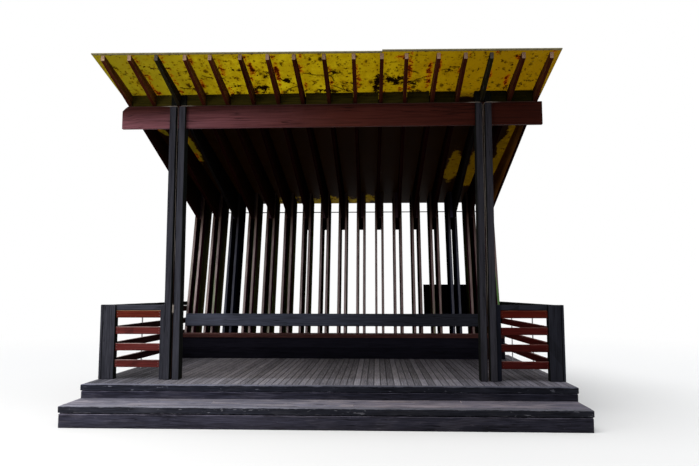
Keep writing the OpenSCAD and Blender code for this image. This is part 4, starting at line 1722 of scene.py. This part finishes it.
# Twigs that lie on the sheets; they are built on top, and their shadows are painted into the film.
TWIGS: tuple[tuple[Point, ...], ...] = (
    ((-0.58, 1.06), (-0.56, 0.99), (-0.50, 0.94), (-0.42, 0.90), (-0.37, 0.88)),
    ((-0.30, 0.60), (-0.24, 0.61), (-0.20, 0.63), (-0.14, 0.65), (-0.05, 0.65), (0.04, 0.66),
     (0.11, 0.61), (0.20, 0.61)),
    ((0.04, 0.66), (0.07, 0.72), (0.08, 0.80)), ((0.05, 0.90), (0.11, 0.92), (0.19, 1.00)),
    ((0.11, 0.61), (0.09, 0.56), (0.04, 0.58)), ((1.05, 0.57), (1.10, 0.60), (1.17, 0.64)),
    ((1.12, 0.80), (1.16, 0.77), (1.23, 0.74)), ((1.45, 0.58), (1.50, 0.56), (1.56, 0.58)),
    ((-1.60, 0.62), (-1.55, 0.66), (-1.48, 0.69)), ((-1.94, 0.92), (-1.85, 0.91), (-1.73, 0.97)),
    ((0.92, 1.02), (1.00, 0.99), (1.12, 1.04)), ((-0.80, 0.55), (-0.74, 0.60), (-0.66, 0.61)))
# Patches where the litter is taken away, which also stand for light falling through onto the
# sheets: painted light at the sides and a glow near the eave.
LIT_CLEAR_PATCHES = (
    Mark(Stain.LITTER, 1.92, 3.45, 0.13, 0.60), Mark(Stain.LITTER, 2.27, 3.50, 0.12, 0.75),
    Mark(Stain.LITTER, 2.65, 3.00, 0.10, 1.05), Mark(Stain.LITTER, -2.33, 2.65, 0.08, 0.50),
    Mark(Stain.LITTER, -2.64, 2.18, 0.05, 0.16),
    Mark(Stain.LITTER, -1.10, 4.95, 0.30, 0.30, 0.55),
    Mark(Stain.LITTER, -0.30, 4.95, 0.40, 0.35, 0.7),
    Mark(Stain.LITTER, 0.40, 4.95, 0.25, 0.30, 0.6))


def clipped(value: float, top: float = 1.0) -> float:
    """Returns a value kept between 0 and a top."""
    return min(max(value, 0.0), top)


@dataclass
class Roof:
    """The yellow sheets with their litter, the strip, the rod and the panel."""

    sheets: tuple[str, str] = ("left_sheet", "right_sheet")
    grid: float = 0.025
    sheet_t: float = 0.008
    corner_reach: Point = (0.01, 0.004)
    front_y: float = -2.5543
    litter_from: float = 1.16
    litter_soft: float = 0.10
    litter_wave: float = 0.05
    wave_scale: float = 2.4
    heap_scale: float = 1.6
    litter_start: float = 0.55
    drip_offset: float = 0.042
    drip_width: float = 0.04
    drip_chance: float = 0.30
    drip_scale: Point = (7.3, 3.2)
    drip_gain: float = 3.0
    drip_amount: float = 0.85
    window_amount: float = 1.1
    window_scale: Point = (4.0, 2.5)
    window_bend: float = 0.16
    window_stretch: Point = (0.5, 1.5)
    leaf_tries: int = 9000
    leaf_margin: float = 0.08
    leaf_chance: float = 0.07
    leaf_long: Point = (0.010, 0.030)
    leaf_share: Point = (0.4, 0.8)
    leaf_thick: Point = (0.002, 0.005)
    leaf_tip: float = 0.2
    stick_chance: float = 0.125
    stick_long: Point = (0.04, 0.12)
    stick_wide: Point = (0.002, 0.004)
    twig_radius: float = 0.005
    twig_taper: float = 0.85
    twig_reach: float = 0.06
    twig_past_end: float = 0.006
    twig_lift: float = 0.9
    twig_overlap: float = 1.06
    above: float = 9.0

    def build(self) -> None:
        """Builds the sheets and dresses the solids of the roof."""
        for node in self.sheets:
            self.sheet(node)
        self.litter()
        dress("sheet_trim", PALE_STRIP.material())
        dress("rear_rod", DARK_METAL.material())
        dress("rear_panel", PANEL_STAIN.material(Source.SOLID_ACROSS))
        dress("side_straps", DULL_METAL.material())

    def sheet(self, node: str) -> None:
        """Builds one sheet over its solid, with the stains as attributes.

        Args:
            node: The solid that it stands for.
        """
        solid = bpy.data.objects[node]
        corners = self.underside([solid.matrix_world @ v.co for v in solid.data.vertices])
        left_near, left_far, right_near, right_far = corners
        columns = max(2, round((right_near.x - left_near.x) / self.grid))
        ys = [p.y for p in corners]
        rows = round((max(ys) - min(ys)) / self.grid)
        mesh = bmesh.new()
        bmesh.ops.create_grid(mesh, x_segments=columns, y_segments=rows, size=0.5)
        layers = mesh.verts.layers.float_vector
        marks, lines = layers.new("sheet_marks"), layers.new("sheet_twigs")
        for v in mesh.verts:
            across, along = v.co.x + 0.5, v.co.y + 0.5
            near = left_near.lerp(right_near, across)
            v.co = near.lerp(left_far.lerp(right_far, across), along)
            v[marks] = self.stains(v.co.x, v.co.y - self.front_y)
            v[lines] = self.nearest_twig(v.co.x, v.co.y - self.front_y)
        bmesh.ops.recalc_face_normals(mesh, faces=mesh.faces[:])
        if mesh.faces[:][0].normal.z < 0.0:
            bmesh.ops.reverse_faces(mesh, faces=mesh.faces[:])
        bmesh.ops.solidify(mesh, geom=mesh.faces[:], thickness=-self.sheet_t)
        bmesh.ops.recalc_face_normals(mesh, faces=mesh.faces[:])
        add_piece(node + "_skin", mesh, sheet_material(), "yellow_sheet", node)

    def underside(self, places: Sequence[Vector]) -> list[Vector]:
        """Finds the lower four corners of a sheet's solid.

        Args:
            places: The vertices of the solid.

        Returns:
            The near and far corners on the left, then those on the right.
        """
        beside, level = self.corner_reach
        found = []
        for x in (min(p.x for p in places), max(p.x for p in places)):
            side = [p for p in places if abs(p.x - x) < beside]
            for y in (min(p.y for p in side), max(p.y for p in side)):
                found.append(min((p for p in side if abs(p.y - y) < level), key=lambda p: p.z))
        return found

    def stains(self, x: float, run: float) -> Vector:
        """Finds the amounts of litter, rust and leaves at a place on the roof, which the film shows
        as stains and as painted shadows.

        Args:
            x: The place across.
            run: The place from the front of the plan.

        Returns:
            The three amounts, from 0 to 1.
        """
        scale = self.wave_scale
        wave = noise.noise(Vector((x * scale, run * scale, 5.0))) * self.litter_wave
        litter = clipped((run + wave - self.litter_from) / self.litter_soft)
        row = round((x - self.drip_offset) / FRAME_PITCH)
        near = abs(x - self.drip_offset - row * FRAME_PITCH)
        row_scale, run_scale = self.drip_scale
        chance = noise.noise(Vector((row * row_scale, run * run_scale, 1.0))) + self.drip_chance
        drip = clipped(chance * self.drip_gain, self.drip_amount)
        drip *= max(1.0 - near / self.drip_width, 0.0)
        amounts = [litter, drip, 0.0]
        for mark in (*RUST_DRIPS, *LEAF_BLOTS):
            amounts[mark.stain.value] = max(amounts[mark.stain.value], mark.strength(x, run))
        across, along = self.window_scale
        bend = noise.noise_vector(Vector((x * across, run * along, 9.0))) * self.window_bend
        wide, long = self.window_stretch
        # The lit patches take away litter, and with it the painted shadow in the film.
        for mark in LIT_CLEAR_PATCHES:
            clear = mark.strength(x + bend.x * wide, run + bend.y * long)
            amounts[0] -= clear * self.window_amount
        return Vector((max(amounts[0], 0.0), amounts[1], amounts[2]))

    def nearest_twig(self, x: float, run: float) -> Vector:
        """Measures how far to one side of a place the nearest twig lies.

        Args:
            x: The place across.
            run: The place from the front of the plan.

        Returns:
            The distance, which changes its sign at the twig, then 1 where a twig is
            beside the place, and a 0.
        """
        best = Vector((self.twig_reach, 0.0, 0.0))
        if run > self.litter_from:
            return best
        for line in TWIGS:
            for (x0, y0), (x1, y1) in zip(line, line[1:]):
                long = math.hypot(x1 - x0, y1 - y0)
                ahead = ((x - x0) * (x1 - x0) + (run - y0) * (y1 - y0)) / long
                aside = ((x - x0) * (y1 - y0) - (run - y0) * (x1 - x0)) / long
                beside = -self.twig_past_end <= ahead <= long + self.twig_past_end
                if beside and abs(aside) < abs(best.x):
                    best = Vector((aside, 1.0, 0.0))
        return best

    def litter(self) -> None:
        """Scatters fallen leaves and twigs over the dirty part of the sheets."""
        rng = random.Random(71)
        skins = [bpy.data.objects[node + "_skin"].data for node in self.sheets]
        self.trees = [BVHTree.FromPolygons([v.co for v in skin.vertices],
                                           [p.vertices for p in skin.polygons]) for skin in skins]
        low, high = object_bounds()
        leaves: list[Matrix] = []
        for _ in range(self.leaf_tries):
            x = rng.uniform(low.x + self.leaf_margin, high.x - self.leaf_margin)
            y = rng.uniform(low.y + self.litter_start, high.y - self.leaf_margin)
            covered = min(self.stains(x, y - self.front_y)[0], 1.0)
            heap = 0.5 + noise.noise(Vector((x * self.heap_scale, y * self.heap_scale, 3.0)))
            found = self.on_top(x, y) if rng.random() < self.leaf_chance + covered * heap else None
            if found:
                leaves.append(self.leaf(*found, rng))
        mesh = bmesh.new()
        add_cones(mesh, leaves, 5, 0.5)
        add_cones(mesh, self.twigs(), 6, self.twig_taper)
        add_piece("roof_litter", mesh, leaf_material(), "yellow_sheet")

    def on_top(self, x: float, y: float) -> tuple[Vector, Vector] | None:
        """Finds the top of the sheets.

        Args:
            x: The place across.
            y: The place towards the back.

        Returns:
            The point and its normal, or None beside the sheets.
        """
        hits = [tree.ray_cast(Vector((x, y, self.above)), -UP) for tree in self.trees]
        hits = [hit for hit in hits if hit[0] is not None]
        return max(hits, key=lambda hit: hit[0].z)[:2] if hits else None

    def twigs(self) -> list[Matrix]:
        """Returns the pieces of the larger twigs, each between two points of its line."""
        pieces = []
        for line in TWIGS:
            spots = [self.on_top(x, run + self.front_y) for x, run in line]
            for (near, normal), (far, _) in zip(spots, spots[1:]):
                way = far - near
                middle = (near + far) / 2 + normal * self.twig_radius * self.twig_lift
                size = (self.twig_radius, self.twig_radius, way.length * self.twig_overlap, 1.0)
                pieces.append(Matrix.Translation(middle) @ raised_to(way) @ Matrix.Diagonal(size))
        return pieces

    def leaf(self, place: Vector, normal: Vector, rng: random.Random) -> Matrix:
        """Lays one leaf, or now and then a thin stick, on a sheet.

        Args:
            place: Where it lies.
            normal: The sheet's normal there.
            rng: The draws for its shape.

        Returns:
            What brings a unit cone to its place and size.
        """
        if rng.random() < self.stick_chance:
            long = rng.uniform(*self.stick_long)
            wide = thick = rng.uniform(*self.stick_wide)
            tip = 0.0
        else:
            long = rng.uniform(*self.leaf_long)
            wide = long * rng.uniform(*self.leaf_share)
            thick = rng.uniform(*self.leaf_thick)
            tip = rng.uniform(-self.leaf_tip, self.leaf_tip)
        turn = Matrix.Rotation(rng.uniform(0.0, math.tau), 4, "Z") @ Matrix.Rotation(tip, 4, "X")
        return (Matrix.Translation(place + normal * thick * 0.5) @ raised_to(normal) @ turn
                @ Matrix.Diagonal((long, wide, thick, 1.0)))


def sheath_material() -> bpy.types.Material:
    """Builds the dirty white of the cables, dull away from the heads of the main posts.

    Returns:
        The material.
    """
    material, g, shader = new_material("dirty_sheath", 0.5, 0.05)
    place = g.place()
    x, _, z = g.split(place)
    from_post = g.apart(g.math("ABSOLUTE", x), MAIN_X)
    high = g.band(g.plus(z, g.times(x, 0.12)), 1.45, 1.95)
    joint = g.band(g.apart(z, CABLE_JOINT_Z), 0.075, 0.06)
    clean = g.most(g.times(high, g.band(from_post, 0.26, 0.10)),
                   g.times(joint, g.band(x, 0.0, -0.5)))
    pale = g.mix(g.noise(place, 30.0, 4.0), (0.50, 0.45, 0.40), (0.34, 0.27, 0.22))
    g.feed(shader.inputs["Base Color"], g.mix(clean, (0.055, 0.030, 0.024), pale))
    add_bump(g, shader, g.noise(place, 60.0, 3.0), 0.0006)
    return material


def leaf_material() -> bpy.types.Material:
    """Builds the browns of dry leaves and twigs.

    Returns:
        The material.
    """
    material, g, shader = new_material("dry_leaves", 0.8, 0.08)
    place = g.place()
    brown = g.mix(g.band(g.noise(place, 22.0, 3.0), 0.35, 0.65), (0.045, 0.027, 0.013),
                  (0.105, 0.062, 0.028))
    g.feed(shader.inputs["Base Color"], brown)
    add_bump(g, shader, g.noise(place, 160.0, 3.0), 0.001)
    return material


@cache
def sheet_material() -> bpy.types.Material:
    """Builds the translucent yellow of the roof sheets, with its litter and rust, and with the
    shadows of litter, leaves and twigs painted into the light that the film lets through.

    Returns:
        The material.
    """
    material, g, shader = new_material("stained_yellow_film", 0.45, 0.08)
    place = g.place()
    litter, rust, leaf = g.split(g.attribute("sheet_marks"))
    fine = g.noise(place, 40.0, 4.0, 0.6)
    broad = g.noise(place, 11.0, 4.0, 0.6)
    ragged = g.minus(g.plus(g.times(fine, 0.8), broad), 0.9)
    # Where litter and leaves lie on top, the film is painted dark: their shadow seen through the
    # sheet, nearly unbroken over the rear of the roof.
    dark = g.most(g.band(g.plus(litter, ragged), 0.42, 0.56),
                  g.band(g.plus(leaf, g.times(ragged, 3.6)), 0.58, 0.68))
    drip = g.plus(rust, g.times(ragged, 3.4))
    fringe = g.band(drip, 0.50, 0.74)
    film = speckled(g, place, broad, bare_film(g, place))
    # The film takes the rust, then the painted shadows of the litter, leaves and twigs.
    for mask, colour in ((fringe, (0.54, 0.28, 0.03)),
                         (g.band(drip, 0.74, 0.90), (0.30, 0.085, 0.010)),
                         (g.band(drip, 0.98, 1.14), (0.12, 0.03, 0.006)),
                         (dark, (0.050, 0.026, 0.003)),
                         (twig_shadow_lines(g, fine), (0.11, 0.065, 0.006))):
        film = g.mix(mask, film, colour)
    face = g.mix(fringe, (0.30, 0.22, 0.01), (0.15, 0.04, 0.006))
    heaped = g.mix(broad, (0.05, 0.028, 0.012), (0.10, 0.065, 0.03))
    # Under the litter the upward faces take its brown, and the downward faces are painted nearly
    # black, as shade.
    brown = g.mix(EFFECTS.use(g, "facing")["Up"], (0.010, 0.006, 0.002), heaped)
    g.feed(shader.inputs["Base Color"], g.mix(dark, face, brown))
    add_bump(g, shader, g.times(dark, fine), 0.004)
    through = g.node("BsdfTranslucent")
    g.feed(through.inputs["Color"], film)
    blend_shaders(g, 0.8, shader, through, material.node_tree.nodes["Material Output"])
    return material


def bare_film(g: Graph, place: Socket) -> Socket:
    """Colours the sheets without litter, which are darker behind the beam.

    Args:
        g: The material's graph.
        place: The place on the bandstand.

    Returns:
        The colour that the film gives to light, once for each of its two faces.
    """
    streaks = g.noise(g.vector("MULTIPLY", place, (7.0, 1.4, 7.0)), 1.0, 4.0, 0.6)
    mottle = g.noise(place, 5.0, 5.0, 0.65)
    across, back, _ = g.split(place)
    film = g.mix(g.band(streaks, 0.35, 0.7), (0.62, 0.54, 0.062), (0.52, 0.43, 0.035))
    film = g.mix(g.band(mottle, 0.42, 0.68, 0.0, 0.55), film, (0.42, 0.32, 0.015))
    film = g.mix(g.band(across, -0.8, -2.6, 0.0, 0.8), film, (0.40, 0.36, 0.065))
    film = g.mix(g.band(across, -0.4, 2.4, 0.0, 0.9), film, (0.40, 0.285, 0.011))
    return g.tint(g.band(back, -1.55, -1.30), film, (0.51, 0.50, 0.62))


def speckled(g: Graph, place: Socket, broad: Socket, film: Socket) -> Socket:
    """Strews brown specks of two sizes over the film, more of them near the beam, each with a
    darker halo: painted shadows of small litter on top, seen through the film.

    Args:
        g: The material's graph.
        place: The place on the bandstand.
        broad: A noise that changes the specks' brown.
        film: The colour so far.

    Returns:
        The colour.
    """
    near_beam = g.band(g.split(place)[1], -1.95, -1.45, 0.0, 0.15)
    crowd = g.plus(g.band(g.noise(place, 2.6), 0.35, 0.65, 0.05, 0.34), near_beam)
    small = EFFECTS.use(g, "specks", place=place, scale=30.0, share=crowd)
    large = EFFECTS.use(g, "specks", place=place, scale=13.0, share=g.times(crowd, 0.5))
    halo = g.times(g.most(small["Halo"], large["Halo"]), 0.6)
    brown = g.mix(g.band(broad, 0.4, 0.6), (0.24, 0.17, 0.010), (0.09, 0.055, 0.005))
    film = g.mix(halo, film, (0.43, 0.31, 0.015))
    return g.mix(g.most(small["Mask"], large["Mask"]), film, brown)


def twig_shadow_lines(g: Graph, fine: Socket) -> Socket:
    """Paints the shadows of the twigs that lie on the sheets, where they show through the film.

    Args:
        g: The material's graph.
        fine: A noise that bends their lines.

    Returns:
        Their mask.
    """
    aside, beside, _ = g.split(g.attribute("sheet_twigs"))
    bent = g.plus(aside, g.times(g.minus(fine, 0.5), 0.016))
    line = g.band(g.math("ABSOLUTE", bent), 0.009, 0.004)
    return g.times(line, g.band(beside, 0.4, 0.7))


# Studio


@dataclass
class Studio:
    """The camera, the lamps, the floor and the white around them."""

    camera_place: tuple[float, float, float] = (0.617, -9.502, 1.517)
    camera_tilt: float = 95.54
    camera_turn: float = 2.48
    lens: float = 31.66
    sensor: float = 36.0
    sky: Point = (0.12, 0.75)
    sun_power: float = 2.0
    sun_angle: float = 50.0
    sun_tilt: float = 14.0
    fill_power: float = 170.0
    fill_size: Point = (4.0, 3.0)
    fill_place: tuple[float, float, float] = (-5.5, -7.0, 3.2)
    fill_aim: tuple[float, float, float] = (-1.0, -1.0, 2.0)
    floor_radius: float = 60.0
    floor_drop: float = 0.001
    floor_fade: Point = (7.0, 16.0)

    def build(self) -> None:
        """Sets up everything that isn't part of the bandstand."""
        self.camera()
        self.lamps()
        self.world()
        self.floor()
        bpy.context.scene.view_settings.view_transform = "Standard"

    def camera(self) -> None:
        """Places the camera where the photograph was taken."""
        data = bpy.data.cameras.new("camera")
        data.lens, data.sensor_width = self.lens, self.sensor
        made = put("camera", data)
        made.location = self.camera_place
        made.rotation_euler = (math.radians(self.camera_tilt), 0.0, math.radians(self.camera_turn))
        bpy.context.scene.camera = made

    def lamps(self) -> None:
        """Hangs a soft sun above and a large lamp at the front left."""
        sun = bpy.data.lights.new("overcast_key", "SUN")
        sun.energy, sun.angle = self.sun_power, math.radians(self.sun_angle)
        tilt = math.radians(self.sun_tilt)
        put("overcast_key", sun).rotation_euler = (tilt, -tilt, 0.0)
        fill = bpy.data.lights.new("left_fill", "AREA")
        fill.shape, fill.energy = "RECTANGLE", self.fill_power
        fill.size, fill.size_y = self.fill_size
        made = put("left_fill", fill)
        made.location = self.fill_place
        aim = Vector(self.fill_aim) - Vector(self.fill_place)
        made.rotation_euler = aim.to_track_quat("-Z", "Y").to_euler()

    def world(self) -> None:
        """Makes the surroundings white to look at and soft as a light."""
        world = bpy.data.worlds.new("studio")
        world.use_nodes = True
        g = Graph(world.node_tree)
        shade = world.node_tree.nodes["Background"]
        seen = self.seen(g)
        height = g.split(g.node("TexCoord").outputs["Generated"])[2]
        sky = g.band(height, -0.05, 0.8, *self.sky)
        g.feed(shade.inputs["Color"], g.mix(seen, (0.92, 0.96, 1.0), (1.0, 1.0, 1.0)))
        g.feed(shade.inputs["Strength"], g.band(seen, 0.0, 1.0, sky, 1.0))
        bpy.context.scene.world = world

    @staticmethod
    def seen(g: Graph) -> Socket:
        """Returns 1 for what the camera, gloss and glass see, and 0 for light."""
        path = g.node("LightPath").outputs
        return g.most(g.most(path["Is Camera Ray"], path["Is Glossy Ray"]),
                      path["Is Transmission Ray"])

    def floor(self) -> None:
        """Lays a plain pale floor that fades into the white around it."""
        material, g, shader = new_material("studio_floor", 0.9, 0.0)
        seen = self.seen(g)
        far = g.times(g.band(g.vector("LENGTH", g.place()), *self.floor_fade), seen)
        g.feed(shader.inputs["Base Color"], g.mix(seen, (0.34, 0.33, 0.33), (0.80, 0.79, 0.78)))
        blend_shaders(g, far, shader, g.node("Emission"),
                      material.node_tree.nodes["Material Output"])
        mesh = bmesh.new()
        bmesh.ops.create_circle(mesh, cap_ends=True, segments=96, radius=self.floor_radius)
        made = put_mesh("studio_floor", mesh, material)
        made.location = -UP * self.floor_drop
        made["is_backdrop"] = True


def main() -> None:
    """Builds the bandstand and the studio."""
    logging.basicConfig(level=logging.INFO, format="%(name)s: %(message)s")
    noise.seed_set(NOISE_SEED)
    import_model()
    Studio().build()
    for assembly in (Floor(), Frame(), Bench(), Railing(-1), Railing(1), Cables(), Roof()):
        assembly.build()
        LOG.info("%s done", type(assembly).__name__)
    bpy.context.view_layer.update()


if __name__ == "__main__":
    main()
